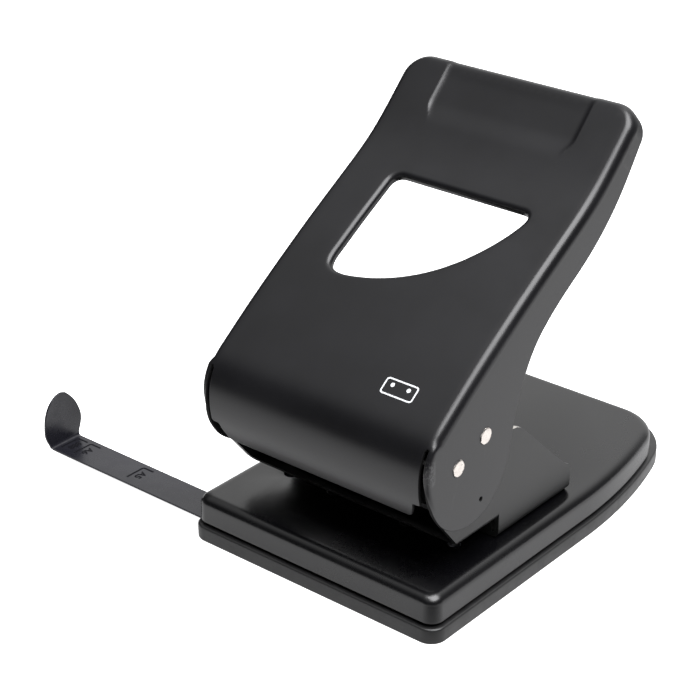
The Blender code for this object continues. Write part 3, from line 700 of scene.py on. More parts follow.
def printed(name, base, rough=0.5, gloss=0.5):
    ink = Surface(name)
    worn = ink.patches(low=0.30, high=0.62, scale=1500, detail=3, rough=0.6)
    return ink.out(Base_Color=ink.mix(worn, off=tinted(base, 0.8), on=base),
                   Roughness=ink.lerp(worn, off=rough + 0.1, on=rough),
                   Normal=ink.bump((worn, 0.004)), Specular_IOR_Level=gloss)


LEVER_PAINT = powder_coat("satin_black_lever_paint", base=(0.0052, 0.0052, 0.0062),
                          rough=0.32, wear=0.05, chips=True)
# painted shade: a duller, less reflective copy of the lever paint for the lever's inner faces,
# standing in for the shade inside the lever
LEVER_INNER_SHADE = powder_coat("lever_inner_painted_shade", base=(0.0050, 0.0050, 0.0052),
                          rough=0.62, sheen=0.35, wear=0.0)
PAN_PAINT = powder_coat("satin_black_pan_paint", base=(0.0013, 0.0013, 0.0018),
                        rough=0.26, sheen=1.18, wear=0.06)
FRAME_PAINT = powder_coat("satin_black_frame_paint", base=(0.0070, 0.0074, 0.0072),
                          rough=0.38, wear=0.0, bare=(21.0, 62.2))
TRAY = moulded("black_tray_plastic", base=(0.0102, 0.0102, 0.0104), rough=0.40, grain=0.008)
RAIL = moulded("black_rail_plastic", base=(0.009, 0.009, 0.009), rough=0.5)
GUIDE = moulded("dark_grey_guide_plastic", base=(0.0105, 0.0105, 0.0145), rough=0.28,
                grain=0.003, streak=(0.15, 1, 1))
ZINC = plated("zinc_plated_steel", base=(0.60, 0.60, 0.61), rough=0.34)
PLATE = plated("zinc_plated_sheet", base=(0.50, 0.51, 0.53), rough=0.38, stretch=(0.1, 1, 1))
PIN = plated("ground_pin_steel", base=(0.56, 0.56, 0.57), rough=0.24,
             stretch=(0.3, 0.3, 3.0), grime=0.15)
SPRING = plated("oiled_spring_wire", base=(0.40, 0.40, 0.41), rough=0.30, grime=0.3)
DARK_METAL = plated("black_oxide_steel", base=(0.030, 0.030, 0.031), rough=0.5, grime=0.3)
PRINT_DARK = printed("dark_printing_ink", base=(0.004, 0.004, 0.006), rough=0.75, gloss=0.12)
PRINT_LIGHT = printed("white_printing_ink", base=(0.78, 0.80, 0.82))
RODS = rod_steel("nickel_rod_ends", base=(0.86, 0.80, 0.75), centres=(PIVOT, PRESS),
                 radius=ROD_R)


def finish(obj, material, body, slot, *nodes, inner=None):
    """Dresses obj and says which body it rides on and which nodes it replaces."""
    polygons = obj.data.polygons
    kept = np.zeros(len(polygons), np.int32)
    if inner:
        polygons.foreach_get("material_index", kept)
    obj.data.materials.clear()
    obj.data.materials.append(material)
    if inner:
        obj.data.materials.append(inner)
        polygons.foreach_set("material_index", kept)
    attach(obj, body)
    if nodes:
        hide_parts(*nodes)


def film(name, patches, place, thickness):
    """A print: (outline, holes) patches laid on a surface by place()."""
    skin = Skin()
    for outline, holes in patches:
        flat, faces = triangulate(outline, holes)
        skin.add(place(flat), faces)
    return skin.solid(name, thickness, edge=0.01)


# ---------------------------------------------------------------------------
# lever: one sheet addressed by x across and run, the arc length along its face
# ---------------------------------------------------------------------------

HALF_W, BEND, SHEET = 53.6, 3.5, 1.4
FLAT = HALF_W - BEND
# (y, z) of the face on the centre line, from the low front edge to the handle's end
FACE = Path([(-31.0, 46.2), (-34.1, 53.8), (-35.2, 62.6), (-34.0, 71.0), (-30.2, 77.6),
             (-24.0, 83.0), (-8.6, 94.4), (10.8, 107.7), (31.4, 121.0), (50.0, 132.4),
             (63.1, 141.3), (74.3, 151.4), (90.75, 167.85)])
LENGTH = FACE.length


def run_at_z(z):
    return float(np.interp(z, FACE.points[:, 1], FACE.runs))


def run_at_y(y):
    handle = FACE.points[:, 1] > 78
    return np.interp(y, FACE.points[handle, 0], FACE.runs[handle])


def hollow(x, run):
    """Depth of the palm hollow pressed into the handle's end."""
    x, run = np.asarray(x, float), np.asarray(run, float)
    # half width, curling in at its low end
    edge = 34.0 - 2.8 * (1 - smooth((run - (LENGTH - 27.0)) / 9.5)) ** 2
    t = np.clip((edge - np.abs(x)) / 2.7, 0, 1)
    across = np.where(t < 1, (2 * t - t * t) ** 0.75, 1.0)      # steep outer wall, easy foot
    along = (smooth((run - (LENGTH - 29.0)) / 10.0)
             * (1 - 0.35 * smooth((run - (LENGTH - 9.0)) / 8.0)))
    return 0.82 * across * along


def down_at(run, depth):
    """(y, z) at a depth square to the face."""
    point, along = FACE.at(run), FACE.tangent(run)
    return (point[..., 0] + depth * along[..., 1], point[..., 1] - depth * along[..., 0])


def on_sheet(x, run, depth=0.0):
    x, run = np.broadcast_arrays(np.asarray(x, float), np.asarray(run, float))
    return np.stack([x, *down_at(run, depth + hollow(x, run))], -1)


SLIT_RUN, EAR_RUN, RIM_RUN = run_at_z(76.0), run_at_z(53.6), run_at_z(49.6)
CORNER_R = 10.8 - BEND                  # in plan, at the bend line
END_RUN = LENGTH - BEND
CORNER_RUN = END_RUN - CORNER_R
RIM_DROP, SKIRT_TOP = 1.5, BEND + 1.0   # depths where the flanges start

# bend line: up the right side, round the handle's end, down the left side;
# columns: x, run, outward direction in x and in run
SIDE_POINTS, CORNER_STEPS = 96, 14
side_runs = np.linspace(SLIT_RUN, CORNER_RUN, SIDE_POINTS)
rim_runs = np.linspace(RIM_RUN, SLIT_RUN, 30)
bend_line = [(FLAT, run, 1.0, 0.0) for run in side_runs]
for degrees in np.linspace(0, 90, CORNER_STEPS + 1)[1:]:
    cosine, sine = math.cos(math.radians(degrees)), math.sin(math.radians(degrees))
    bend_line.append((FLAT - CORNER_R + CORNER_R * cosine, CORNER_RUN + CORNER_R * sine,
                      cosine, sine))
bend_line += [(x, END_RUN, 0.0, 1.0)
              for x in np.linspace(FLAT - CORNER_R, -(FLAT - CORNER_R), 91)[1:]]
bend_line += [(-x, run, -out_x, out_run)
              for x, run, out_x, out_run in reversed(bend_line[:SIDE_POINTS + CORNER_STEPS - 1])]
bend_line = np.array(bend_line)

# sections of the bend, (out, down): wide on the handle, tight near the slits
WIDE = [(BEND * math.sin(math.radians(a)), 4.4 * (1 - math.cos(math.radians(a))))
        for a in np.linspace(0, 90, 10)]
WIDE.append((BEND, SKIRT_TOP))
TIGHT = [(0, 0), (1.5, 0), (1.75, 0), (2.0, 0)]
TIGHT += [(2.0 + 1.5 * math.sin(math.radians(a)), 1.5 * (1 - math.cos(math.radians(a))))
          for a in (22.5, 45, 67.5, 90)]
TIGHT += [(BEND, 2.4), (BEND, 3.5), (BEND, SKIRT_TOP)]
WIDE, TIGHT = np.array(WIDE), np.array(TIGHT)
ROWS = len(WIDE)


def rim_depth(row):
    return RIM_DROP + (SKIRT_TOP - RIM_DROP) * (row - 1) / (ROWS - 2)


def bend_point(x, run, out_x, out_run, row):
    tightness = 1 - smooth((run - SLIT_RUN) / 3.2) if abs(out_x) > 0.999 else 0.0
    out, down = (1 - tightness) * WIDE[row] + tightness * TIGHT[row]
    if run < SLIT_RUN - 1e-6:
        # below the slit the bend flattens into the flange's free front rim
        flatness = 1 - smooth((run - RIM_RUN) / (SLIT_RUN - 8 - RIM_RUN))
        out = out + flatness * (BEND - out)
        down = down + flatness * (rim_depth(row) - down)
    point, along = FACE.at(run), FACE.tangent(run)
    depth = down + float(hollow(x, run))
    return (x + out * out_x,
            point[0] + out * out_run * along[0] + depth * along[1],
            point[1] + out * out_run * along[1] - depth * along[0])


def add_bends(skin):
    skin.grid([[bend_point(*station, row) for row in range(ROWS)] for station in bend_line])
    for sx in (1, -1):
        rows = [[bend_point(sx * FLAT, run, sx * 1.0, 0.0, row) for row in range(1, ROWS)]
                for run in rim_runs]
        skin.grid(rows, flip=sx < 0)


# opening in the handle, as (x, y)
WINDOW = [(-30.95, 20.0), (-31.1, 16.5), (-30.95, 14.2), (-30.2, 12.3), (-28.6, 11.0),
          (-26.2, 10.3), (-22.5, 10.15), (-18.2, 10.65), (-14.8, 11.25), (-11.5, 11.9),
          (-8.4, 12.7), (-5.3, 13.6), (-2.4, 14.6), (0.4, 15.7), (3.1, 16.9), (5.8, 18.2),
          (8.35, 19.6), (10.8, 21.1), (13.2, 22.7), (15.5, 24.5), (17.7, 26.3), (19.85, 28.2),
          (21.8, 30.3), (23.8, 32.5), (25.6, 34.8), (27.4, 37.2), (29.05, 39.8), (30.6, 42.5),
          (31.9, 45.2), (32.7, 47.2), (32.8, 48.9), (32.0, 50.2), (30.4, 50.75),
          (20.0, 50.75), (0.0, 50.75), (-26.0, 50.75), *arc(-26.5, 46.7, 4.0, 85, 170, 6),
          (-30.7, 36.0), (-30.85, 28.0)]
ROLL_W, ROLL_D = 2.4, 2.0               # rolled edge round the opening


def window_loop():
    loop = resample(np.array([(x, run_at_y(y)) for x, y in WINDOW]), 0.4)
    for _ in range(5):                  # ease the joins
        loop = 0.5 * loop + 0.25 * (np.roll(loop, 1, axis=0) + np.roll(loop, -1, axis=0))
    return counter_clockwise(resample(loop, 0.9))


def roll_depth(window, points):
    """How far the sheet has turned down at these points round the window."""
    points = np.asarray(points, float)
    away = np.where(inside(window, points), 0.0, distance_to(window, points))
    rise = np.sqrt(np.clip(1 - (1 - np.clip(away / ROLL_W, 0, 1)) ** 2, 0, 1))
    return ROLL_D * (1 - rise)


def sheet_outline():
    """The bend line, closed by the front edge between the two flanges."""
    lip_x = FLAT - 0.65
    lip = [(lip_x + 0.65 * math.cos(math.radians(a)), SLIT_RUN - 1.1 * math.sin(math.radians(a)))
           for a in (22, 45, 67, 90)]
    lip += [(lip_x, run) for run in np.linspace(SLIT_RUN - 1.1, EAR_RUN + 0.9, 17)[1:]]
    lip += arc(lip_x - 0.9, EAR_RUN + 0.9, 0.9, 0, -90, 4)[1:]
    lip += [(48.0, EAR_RUN), (47.2, EAR_RUN)] + arc(46.9, EAR_RUN - 1.0, 1.0, 90, 180, 4)[1:]
    lip += [(45.5, EAR_RUN - 2.6), (45.0, EAR_RUN - 4.2), (44.5, EAR_RUN - 5.6)]
    lip += arc(41.7, 2.7, 2.7, 0, -90, 6)
    lip += [(x, 0.0) for x in np.linspace(39.0, 0.0, 14)]
    lip += [(-x, run) for x, run in lip[::-1][1:]]
    return np.array([(x, run) for x, run, _, _ in bend_line] + lip[::-1])


def sheet_points(outline, opening):
    """Points that carry the sheet's curve, closer together at the palm hollow."""
    runs = [*np.arange(1.6, 44.0, 1.7), *np.arange(45.5, LENGTH - 34, 2.6),
            *np.arange(LENGTH - 33, END_RUN - 0.6, 1.35)]
    coarse = set(np.round(np.arange(-48.0, 48.1, 4.0), 3))
    wall = np.round(np.arange(29.6, 35.2, 0.45), 3)
    fine = coarse | set(wall) | set(-wall)
    points = np.array([(x, run) for run in runs
                       for x in sorted(fine if run > LENGTH - 34 else coarse)])
    keep = inside(outline, points) & (distance_to(outline, points) > 0.9)
    keep &= ~inside(opening, points) & (distance_to(opening, points) > 0.9)
    return points[keep]


def add_sheet(skin):
    window = window_loop()
    rolls = [grow(window, ROLL_W * (1 - math.sin(math.radians(a)))) for a in np.linspace(90, 0, 10)]
    outline = sheet_outline()
    flat, faces = triangulate(outline, [rolls[0]], rolls[1:], sheet_points(outline, rolls[-1]))
    skin.add(on_sheet(flat[:, 0], flat[:, 1], roll_depth(window, flat)), faces)
    skin.grid([[tuple(on_sheet(x, run, ROLL_D + drop)) for drop in (0.0, 0.6, 1.2)]
               for x, run in window], closed=True, flip=True)


SIDE_DEPTH, END_DEPTH = 10.4, 9.0       # skirt at the corners and across the end
# (y, z) of a flange's lower edge, from its front rim to the handle's corner
FLANGE_EDGE = Path([
    down_at(RIM_RUN, RIM_DROP), (-27.2, 44.2), (-19.3, 38.4), (-9.4, 36.2), (-2.2, 37.5),
    (5.2, 42.2), (10.4, 48.4), (13.4, 56.0), (15.4, 65.5), (18.2, 75.5), (22.1, 85.0),
    (27.5, 93.7), (35.2, 101.3), (45.4, 108.7), (58.6, 117.2), (69.8, 126.3), (78.8, 136.0),
    (84.6, 143.9), down_at(CORNER_RUN, SIDE_DEPTH)])


def add_flanges(skin):
    """Plane side plates between the bend and their lower edge."""
    loop = [down_at(RIM_RUN, rim_depth(row)) for row in range(ROWS - 1, 0, -1)]
    loop += FLANGE_EDGE.spaced(120)[1:-1]
    loop += [down_at(CORNER_RUN, depth) for depth in np.linspace(SKIRT_TOP, SIDE_DEPTH, 5)[::-1]]
    loop += [down_at(run, SKIRT_TOP) for run in side_runs[::-1][1:]]
    loop += [down_at(run, SKIRT_TOP) for run in rim_runs[::-1][1:-1]]
    holes = [circle(*PIVOT, 7.05), circle(*PRESS, 7.05), circle(-3.1, 44.1, 2.3, 24)]
    flat, faces = triangulate(counter_clockwise(np.array(loop)), holes)
    for sx in (1, -1):
        skin.add([(sx * HALF_W, y, z) for y, z in flat], faces, flip=sx < 0)


def add_skirt(skin):
    """Skirt round the handle's end, shallower away from the corners."""
    stations = bend_line[bend_line[:, 1] >= CORNER_RUN - 1e-6]
    rows = []
    for i, station in enumerate(stations):
        along = FACE.tangent(station[1])
        shallow = float(smooth(min(i, len(stations) - 1 - i) / 16.0))
        depth = SIDE_DEPTH + (END_DEPTH - SIDE_DEPTH) * shallow
        top = np.array(bend_point(*station, ROWS - 1))
        rows.append([tuple(top + np.array((0, drop * along[1], -drop * along[0])))
                     for drop in np.linspace(SKIRT_TOP, depth, 5) - SKIRT_TOP])
    skin.grid(rows)


lever_skin = Skin()
for add_part in (add_bends, add_sheet, add_flanges, add_skirt):
    add_part(lever_skin)
# the inner faces take the painted-shade copy of the lever paint
finish(lever_skin.solid("lever_shell", SHEET, edge=0.32, inner=True), LEVER_PAINT,
       "lever", "black_paint", "lever", inner=LEVER_INNER_SHADE)

# small printed pictogram: a sheet with two holes
badge_x, badge_run = 28.4, float(run_at_y(-19.3))
badge = [(round_rect(badge_x, badge_run, 14.4, 6.8, 1.3),
          [round_rect(badge_x, badge_run, 13.2, 5.6, 0.8)])]
badge += [(circle(badge_x + dx, badge_run + 0.9, 1.7, 24), ()) for dx in (-3.6, 3.6)]
finish(film("lever_print_pictogram", badge,
            lambda flat: on_sheet(flat[:, 0], flat[:, 1], -0.05), 0.04),
       PRINT_LIGHT, "lever", "black_paint")

# ---------------------------------------------------------------------------
# base pan and chip tray
# ---------------------------------------------------------------------------

TRAY_HALF_W, TRAY_FRONT = 59.8, -37.4
SIDE_R, SIDE_Y0 = 225.0, 60.0           # the sides curve in behind this y
PAN_TOP, PAN_BOTTOM, PAN_R, PAN_W = 18.67, 7.6, 3.8, 4.1
PAN_REAR, PAN_GAP, PAN_SHEET = 132.4, 1.35, 1.4
TRAY_SHAPE = dict(half_w=TRAY_HALF_W, front=TRAY_FRONT, rear=147.0, front_r=6.5, rear_r=32.0)
PAN_SHAPE = dict(half_w=TRAY_HALF_W - PAN_GAP, front=TRAY_FRONT + PAN_GAP, rear=PAN_REAR,
                 front_r=5.4, rear_r=21.0)


def plan(half_w, front, rear, front_r, rear_r, inset=0.0):
    """Outline seen from above, counter-clockwise from the middle of the front."""
    width, y_front, y_rear = half_w - inset, front + inset, rear - inset
    front_r, rear_r = max(front_r - inset * 0.5, 0.5), max(rear_r - inset, 0.5)
    big = SIDE_R - inset
    cx = half_w - SIDE_R
    # the rear corner arc touches the big side arc from within
    yc = y_rear - rear_r
    xc = cx + math.sqrt((big - rear_r) ** 2 - (yc - SIDE_Y0) ** 2)
    touch = math.degrees(math.atan2(yc - SIDE_Y0, xc - cx))
    right = [(x, y_front) for x in np.linspace(0.0, width - front_r, 12)][1:-1]
    right += arc(width - front_r, y_front + front_r, front_r, -90, 0, 20)
    right += [(width, y) for y in np.linspace(y_front + front_r, SIDE_Y0, 20)][1:-1]
    right += arc(cx, SIDE_Y0, big, 0, touch, 24)
    right += arc(xc, yc, rear_r, touch, 90, 28)[1:]
    right += [(x, y_rear) for x in np.linspace(xc, 0.0, 6)][1:-1]
    left = [(-x, y) for x, y in reversed(right)]
    return np.array([(0.0, y_front)] + right + [(0.0, y_rear)] + left)


def plan_rings(shape, levels):
    """The outline at each (inset, z)."""
    return [[(x, y, z) for x, y in plan(**shape, inset=inset)] for inset, z in levels]


def build_pan():
    levels = [(0.0, PAN_BOTTOM + 0.3), (0.0, PAN_BOTTOM + 1.2), (0.0, PAN_TOP - PAN_R - 0.8)]
    levels += [(PAN_W * (1 - math.cos(math.radians(a))),
                PAN_TOP - PAN_R + PAN_R * math.sin(math.radians(a)))
               for a in np.linspace(0, 90, 12)]
    levels.append((PAN_W + 0.8, PAN_TOP))
    skin = Skin()
    skin.grid(list(zip(*plan_rings(PAN_SHAPE, levels))), closed=True, flip=True)
    holes = [circle(sx * PIN_X, 0.0, 6.5) for _, sx in SIDES]
    holes += [circle(x, y, 4.3, 24) for x, y in (*FRAME_RIVETS, (-18, 0), (18, 0))]
    flat, faces = triangulate(plan(**PAN_SHAPE, inset=PAN_W + 0.8), holes)
    skin.add([(x, y, PAN_TOP) for x, y in flat], faces)
    pan = skin.solid("base_pan_shell", PAN_SHEET, edge=0.3)
    # notch at the left side for the guide strip
    carve(pan, [brick("strip_slot", -62.0, -54.0, -34.7, -18.1, 5.0, 8.35)])
    pan.data.shade_smooth()
    pan.data.set_sharp_from_angle(angle=math.radians(38))
    finish(pan, PAN_PAINT, "base", "black_paint", "base_pan")


# (inset, z): the tray's outer wall from below, then its raised inner step and floor
TRAY_WALL = [(1.0, 0.0), (0.35, 0.0), (0.12, 0.09), (0.02, 0.3), (0.0, 0.8), (0.0, 3.0),
             (0.0, 5.2), (0.07, 5.6), (0.25, 5.92), (0.55, 6.12), (0.9, 6.2)]
TRAY_INNER = [(1.9, 6.32), (2.4, 6.35), (2.6, 6.2), (2.65, 4.0), (2.75, 2.5), (3.2, 2.05),
              (4.0, 2.0)]


def build_tray():
    rings = plan_rings(TRAY_SHAPE, TRAY_WALL) + plan_rings(PAN_SHAPE, TRAY_INNER)
    count = len(rings[0])
    faces = [tuple(range(count))[::-1]]
    for k in range(len(rings) - 1):
        for i in range(count):
            j = (i + 1) % count
            faces.append((k * count + i, k * count + j, (k + 1) * count + j, (k + 1) * count + i))
    faces.append(tuple(range((len(rings) - 1) * count, len(rings) * count)))
    tray = make("chip_tray_moulding", [p for ring in rings for p in ring], faces, angle=40.0)
    finish(tray, TRAY, "chip_tray", "tray_plastic", "chip_tray")


def build_tray_catch(side, sx):
    """Upright tongue just inside the pan's rear wall."""
    back = PAN_REAR - PAN_SHEET - 0.5
    outline = [(back - 1.5, 5.0), (back + 0.1, 5.0), (back, 10.6), (back + 0.3, 11.3),
               (back, 12.3), (back - 1.0, 12.5), (back - 1.5, 11.8)]
    catch = prism("tray_catch_" + side, [outline], sx * 17 - 5, sx * 17 + 5, "X")
    finish(bevelled(catch, 0.2), TRAY, "chip_tray", "tray_plastic")


build_pan()
build_tray()
for side, sx in SIDES:
    build_tray_catch(side, sx)

# ---------------------------------------------------------------------------
# punch frame
# ---------------------------------------------------------------------------

FRAME_W, FRAME_T, FRAME_R = 51.1, 2.0, 3.0
MARGIN, WEB_Z, THROAT, FRAME_REAR = 12.4, PAN_TOP + 0.2, 27.0, 59.2
# height of the press bar when the lever is down
PRESS_ARM, PRESS_ANGLE, SWING = 17.05, 22.05, 44.0
PRESSED_Z = PIVOT[1] + PRESS_ARM * math.sin(math.radians(PRESS_ANGLE - SWING))


def channel(name, y0, y1, z):
    """U section open at the top, its web's underside at z."""
    width, thick, radius = FRAME_W, FRAME_T, FRAME_R
    cx, cz, inner_r = width - radius, z + radius, radius - thick
    loop = [(width, 80.0)] + arc(cx, cz, radius, 0, -90, 10)
    loop += arc(-cx, cz, radius, -90, -180, 10) + [(-width, 80.0), (-width + thick, 80.0)]
    loop += arc(-cx, cz, inner_r, 180, 270, 6) + arc(cx, cz, inner_r, 270, 360, 6)
    loop.append((width - thick, 80.0))
    return prism(name, [loop[::-1]], y0, y1, "Y")


def frame_side_view():
    """(y, z) outline: the axle's round ear, the press bar's notch, the rear slope."""
    slope = Path([(19.0, 62.6), (22.6, 61.9), (26.2, 59.5), (32.3, 53.8), (51.3, 36.0)])
    return ([(-11.6, THROAT - 0.5), (-22.8, 40.3)] + arc(*PIVOT, 9.4, 200, 48, 24)
            + [(-6.0, 66.0)] + arc(-0.9, PRESSED_Z, 4.4, 200, 340, 16)
            + [(4.6, 61.6), (5.6, 62.6)] + slope.spaced(16) + [(56.6, 31.4)]
            + arc(57.2, 29.0, 2.0, 60, 0, 5) + [(FRAME_REAR, WEB_Z - 1.0), (0.0, WEB_Z - 1.0)])


def build_punch_frame():
    body = channel("punch_frame_pressing", MARGIN, FRAME_REAR + 2, WEB_Z)
    # the front part's web is raised to the paper throat, with a riser between
    raised = channel("raised_web", -40.0, MARGIN + FRAME_T, THROAT)
    riser = brick("riser", -FRAME_W + FRAME_R, FRAME_W - FRAME_R, MARGIN, MARGIN + FRAME_T,
                  WEB_Z + 0.3, THROAT + FRAME_T - 0.3)
    carve(body, [raised, riser], "UNION")
    carve(body, [prism("side_view", [frame_side_view()[::-1]], -60, 60, "X")], "INTERSECT")
    holes = [bar(7.3, (-60, *PIVOT), 120, "X")]
    holes += [bar(5.8, (sx * PIN_X, 0, 20), 13) for _, sx in SIDES]
    holes += [bar(4.3, (x, y, 10), 16, sides=24) for x, y in FRAME_RIVETS]
    holes += [brick("bridge_slot", -FRAME_W + 0.5, FRAME_W - 0.5, -4.3, 4.3, 33.85, 36.15)]
    carve(body, holes)
    bevelled(body, 0.22, angle=50)
    finish(body, FRAME_PAINT, "base", "frame_paint", "punch_frame")


build_punch_frame()

# ---------------------------------------------------------------------------
# rods, pins and fasteners
# ---------------------------------------------------------------------------


def riveted_rod(name, centre, node):
    """Bar with slightly peened, domed ends."""
    reach = HALF_W + 0.5
    # (radius, depth from the tip)
    cap = [(0.0, 0.0), (1.6, 0.02), (2.7, 0.10), (3.15, 0.25), (3.36, 0.5), (ROD_R, 0.8)]
    profile = [(r, depth - reach) for r, depth in cap]
    profile += [(r, reach - depth) for r, depth in reversed(cap)]
    rod = lathe(name, profile, (0, *centre), "X", 72, angle=40)
    finish(rod, RODS, "lever", "nickel_rod", node)


riveted_rod("lever_axle_rod", PIVOT, "lever_axle")
riveted_rod("press_bar_rod", PRESS, "press_bar")

for side, _ in SIDES:
    low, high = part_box("axle_washer_" + side)
    x0, x1 = low.x / MM, high.x / MM
    width = x1 - x0
    washer = lathe("axle_washer_disc_" + side,
                   [(3.65, 0), (6.35, 0), (6.5, 0.12), (6.5, width - 0.12), (6.35, width),
                    (3.65, width)], (x0, *PIVOT), "X")
    finish(washer, DARK_METAL, "lever", "zinc_fastener", "axle_washer_" + side)

for name in [f"frame_rivet_{row}_{side}" for row in ("front", "rear") for side, _ in SIDES]:
    low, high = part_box(name)
    x, y = (low.x + high.x) / 2 / MM, (low.y + high.y) / 2 / MM
    head, foot = WEB_Z + FRAME_T + 0.15, PAN_TOP - PAN_SHEET - 0.15
    profile = [(3.8 * math.sin(math.radians(a)), head + 1.7 * math.cos(math.radians(a)))
               for a in np.linspace(0, 90, 12)]
    profile += [(1.95, head), (1.95, foot), (3.4, foot), (3.2, foot - 0.5), (2.6, foot - 1.1),
                (2.2, foot - 1.2), (0, foot - 1.2)]
    finish(lathe(name + "_turned", profile, (x, y, 0)), FRAME_PAINT, "base", "zinc_fastener", name)

for name in ("die_rivet_left", "die_rivet_right"):
    low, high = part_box(name)
    x = (low.x + high.x) / 2 / MM
    head, foot = PAN_TOP + 0.1, low.z / MM + 1.0
    profile = [(0, head + 0.5), (2.2, head + 0.48), (2.8, head + 0.36), (3.2, head),
               (1.95, head), (1.95, foot), (3.3, foot), (3.1, foot - 0.5), (2.5, foot - 1.0),
               (0, foot - 1.0)]
    finish(lathe(name + "_turned", profile, (x, 0.0, 0)), FRAME_PAINT, "base",
           "zinc_fastener", name)

PIN_R, CLIP_Z, CUP_Z, SEAT_Z = 2.75, 62.1, 61.0, 36.15
WIRE, COIL_D, TURNS, TURN_STEPS, WIRE_SIDES = 1.0, 8.2, 8, 40, 12


def build_pin(side, x):
    """Pin with a groove for its clip and a hollow tip, from the top down."""
    profile = [(0, 65.5), (1.9, 65.48), (2.4, 65.35), (2.75, 64.9), (PIN_R, CLIP_Z + 0.85),
               (PIN_R - 0.7, CLIP_Z + 0.85), (PIN_R - 0.7, CLIP_Z - 0.15),
               (PIN_R, CLIP_Z - 0.15), (PIN_R, 28.0), (2.68, 27.92), (2.5, 28.1), (1.9, 28.6),
               (1.0, 29.15), (0, 29.5)]
    finish(lathe("punch_pin_ground_" + side, profile, (x, 0, 0), sides=56), PIN,
           "pin_" + side, "pin_steel", "punch_pin_" + side)


def build_clip(side, x):
    ring = arc(x, 0, 4.6, -60, 240, 48) + arc(x, 0, PIN_R - 0.5, 240, -60, 40)
    clip = prism("retaining_clip_ring_" + side, [ring], CLIP_Z, CLIP_Z + 0.7)
    finish(bevelled(clip, 0.12), SPRING, "pin_" + side, "spring_steel", "retaining_clip_" + side)


def build_cup(side, x):
    bore = PIN_R + 0.2
    cup = lathe("spring_cup_washer_" + side,
                [(bore, CUP_Z + 0.8), (5.0, CUP_Z + 0.8), (5.2, CUP_Z + 0.62),
                 (5.2, CUP_Z + 0.18), (5.0, CUP_Z), (bore, CUP_Z)], (x, 0, 0))
    finish(cup, ZINC, "pin_" + side, "zinc_fastener", "spring_cup_" + side)


def coil_path(x):
    """Centre line of the wire, with a closed flat turn at each end."""
    low, high = SEAT_Z + WIRE / 2, CUP_Z - 0.15 - WIRE / 2
    pitch = 1.08 * WIRE
    path = []
    for i in range(TURN_STEPS * TURNS + 1):
        turn = i / TURN_STEPS
        if turn < 1:
            z = low + pitch * turn
        elif turn > TURNS - 1:
            z = high - pitch * (TURNS - turn)
        else:
            z = low + pitch + (high - low - 2 * pitch) * ((turn - 1) / (TURNS - 2))
        angle = math.tau * turn
        path.append(Vector((x + COIL_D / 2 * math.cos(angle), COIL_D / 2 * math.sin(angle), z)))
    return path


def build_spring(side, x):
    path = coil_path(x)
    last, ring = len(path) - 1, WIRE_SIDES
    verts, faces = [], []
    for i, point in enumerate(path):
        along = (path[min(i + 1, last)] - path[max(i - 1, 0)]).normalized()
        outward = Vector((point.x - x, point.y, 0)).normalized()
        across = along.cross(outward).normalized()
        outward = across.cross(along)
        for j in range(ring):
            angle = math.tau * j / ring
            verts.append(point + (outward * math.cos(angle) + across * math.sin(angle)) * WIRE / 2)
    for i in range(last):
        for j in range(ring):
            k = (j + 1) % ring
            faces.append((i * ring + j, i * ring + k, (i + 1) * ring + k, (i + 1) * ring + j))
    faces.append(tuple(range(ring))[::-1])
    faces.append(tuple(last * ring + j for j in range(ring)))
    coil = make("return_spring_coil_" + side, verts, faces, angle=50)
    finish(coil, SPRING, "base", "spring_steel", "return_spring_" + side)
    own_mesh(coil)


for side, sx in SIDES:
    for build in (build_pin, build_clip, build_cup, build_spring):
        build(side, sx * PIN_X)

# plate across the frame, with a tongue into each frame side
inner_w, tongue = FRAME_W - FRAME_T - 0.2, FRAME_W - 0.7
bridge_outline = [(-inner_w, -8), (inner_w, -8), (inner_w, -4), (tongue, -4), (tongue, 4),
                  (inner_w, 4), (inner_w, 8), (-inner_w, 8), (-inner_w, 4), (-tongue, 4),
                  (-tongue, -4), (-inner_w, -4)]
bridge = prism("pin_guide_bridge_plate",
               [bridge_outline, circle(-PIN_X, 0, 5.8), circle(PIN_X, 0, 5.8)], 34.0, 36.0)
finish(bevelled(bridge, 0.15), DARK_METAL, "base", "zinc_plate", "pin_guide_bridge")

# ---------------------------------------------------------------------------
# paper guide: a flat strip whose left end folds up into a flag
# ---------------------------------------------------------------------------

STRIP_Y0, STRIP_Y1, STRIP_T = -33.9, -18.75, 0.8
STRIP_TOP = 7.0 + STRIP_T
FOLD_R, FOLD_TURN = 1.1, math.radians(88)
FOLD_X = -143.2 + 0.4 + FOLD_R          # where the fold starts
STRIP_LENGTH = -31.4 - FOLD_X


def guide_point(along, y):
    """along is negative on the strip, 0 at the fold and then climbs the flag."""
    along, y = np.asarray(along, float), np.asarray(y, float)
    turn = np.clip(along / FOLD_R, 0, FOLD_TURN)
    rest = np.maximum(along - FOLD_R * FOLD_TURN, 0)
    lean = rest * math.cos(FOLD_TURN) * (1 - rest / 22.0)
    x = np.where(along < 0, FOLD_X - along, FOLD_X - FOLD_R * np.sin(turn) - lean)
    z = np.where(along < 0, STRIP_TOP,
                 STRIP_TOP + FOLD_R * (1 - np.cos(turn)) + rest * math.sin(FOLD_TURN))
    # slight cup across the flag
    x = x + 0.010 * np.maximum(np.abs(y + 27.2) - 2, 0) ** 2 * smooth(rest / 10)
    return np.stack([x, y, z], -1)


# (along, y) of the flag's rear edge, front edge and top
REAR_EDGE = Path([(0.0, STRIP_Y1), (1.9, -18.5), (5.8, -17.4), (9.4, -17.15), (14.4, -18.4),
                  (19.4, -21.2), (22.7, -24.4)])
FRONT_EDGE = Path([(0.0, STRIP_Y0), (1.9, -34.6), (5.8, -36.3), (10.4, -36.8), (15.9, -35.8),
                   (20.4, -33.2), (23.0, -29.8)])
FLAG_TOP = Path([(22.7, -24.4), (23.5, -27.1), (23.0, -29.8)])


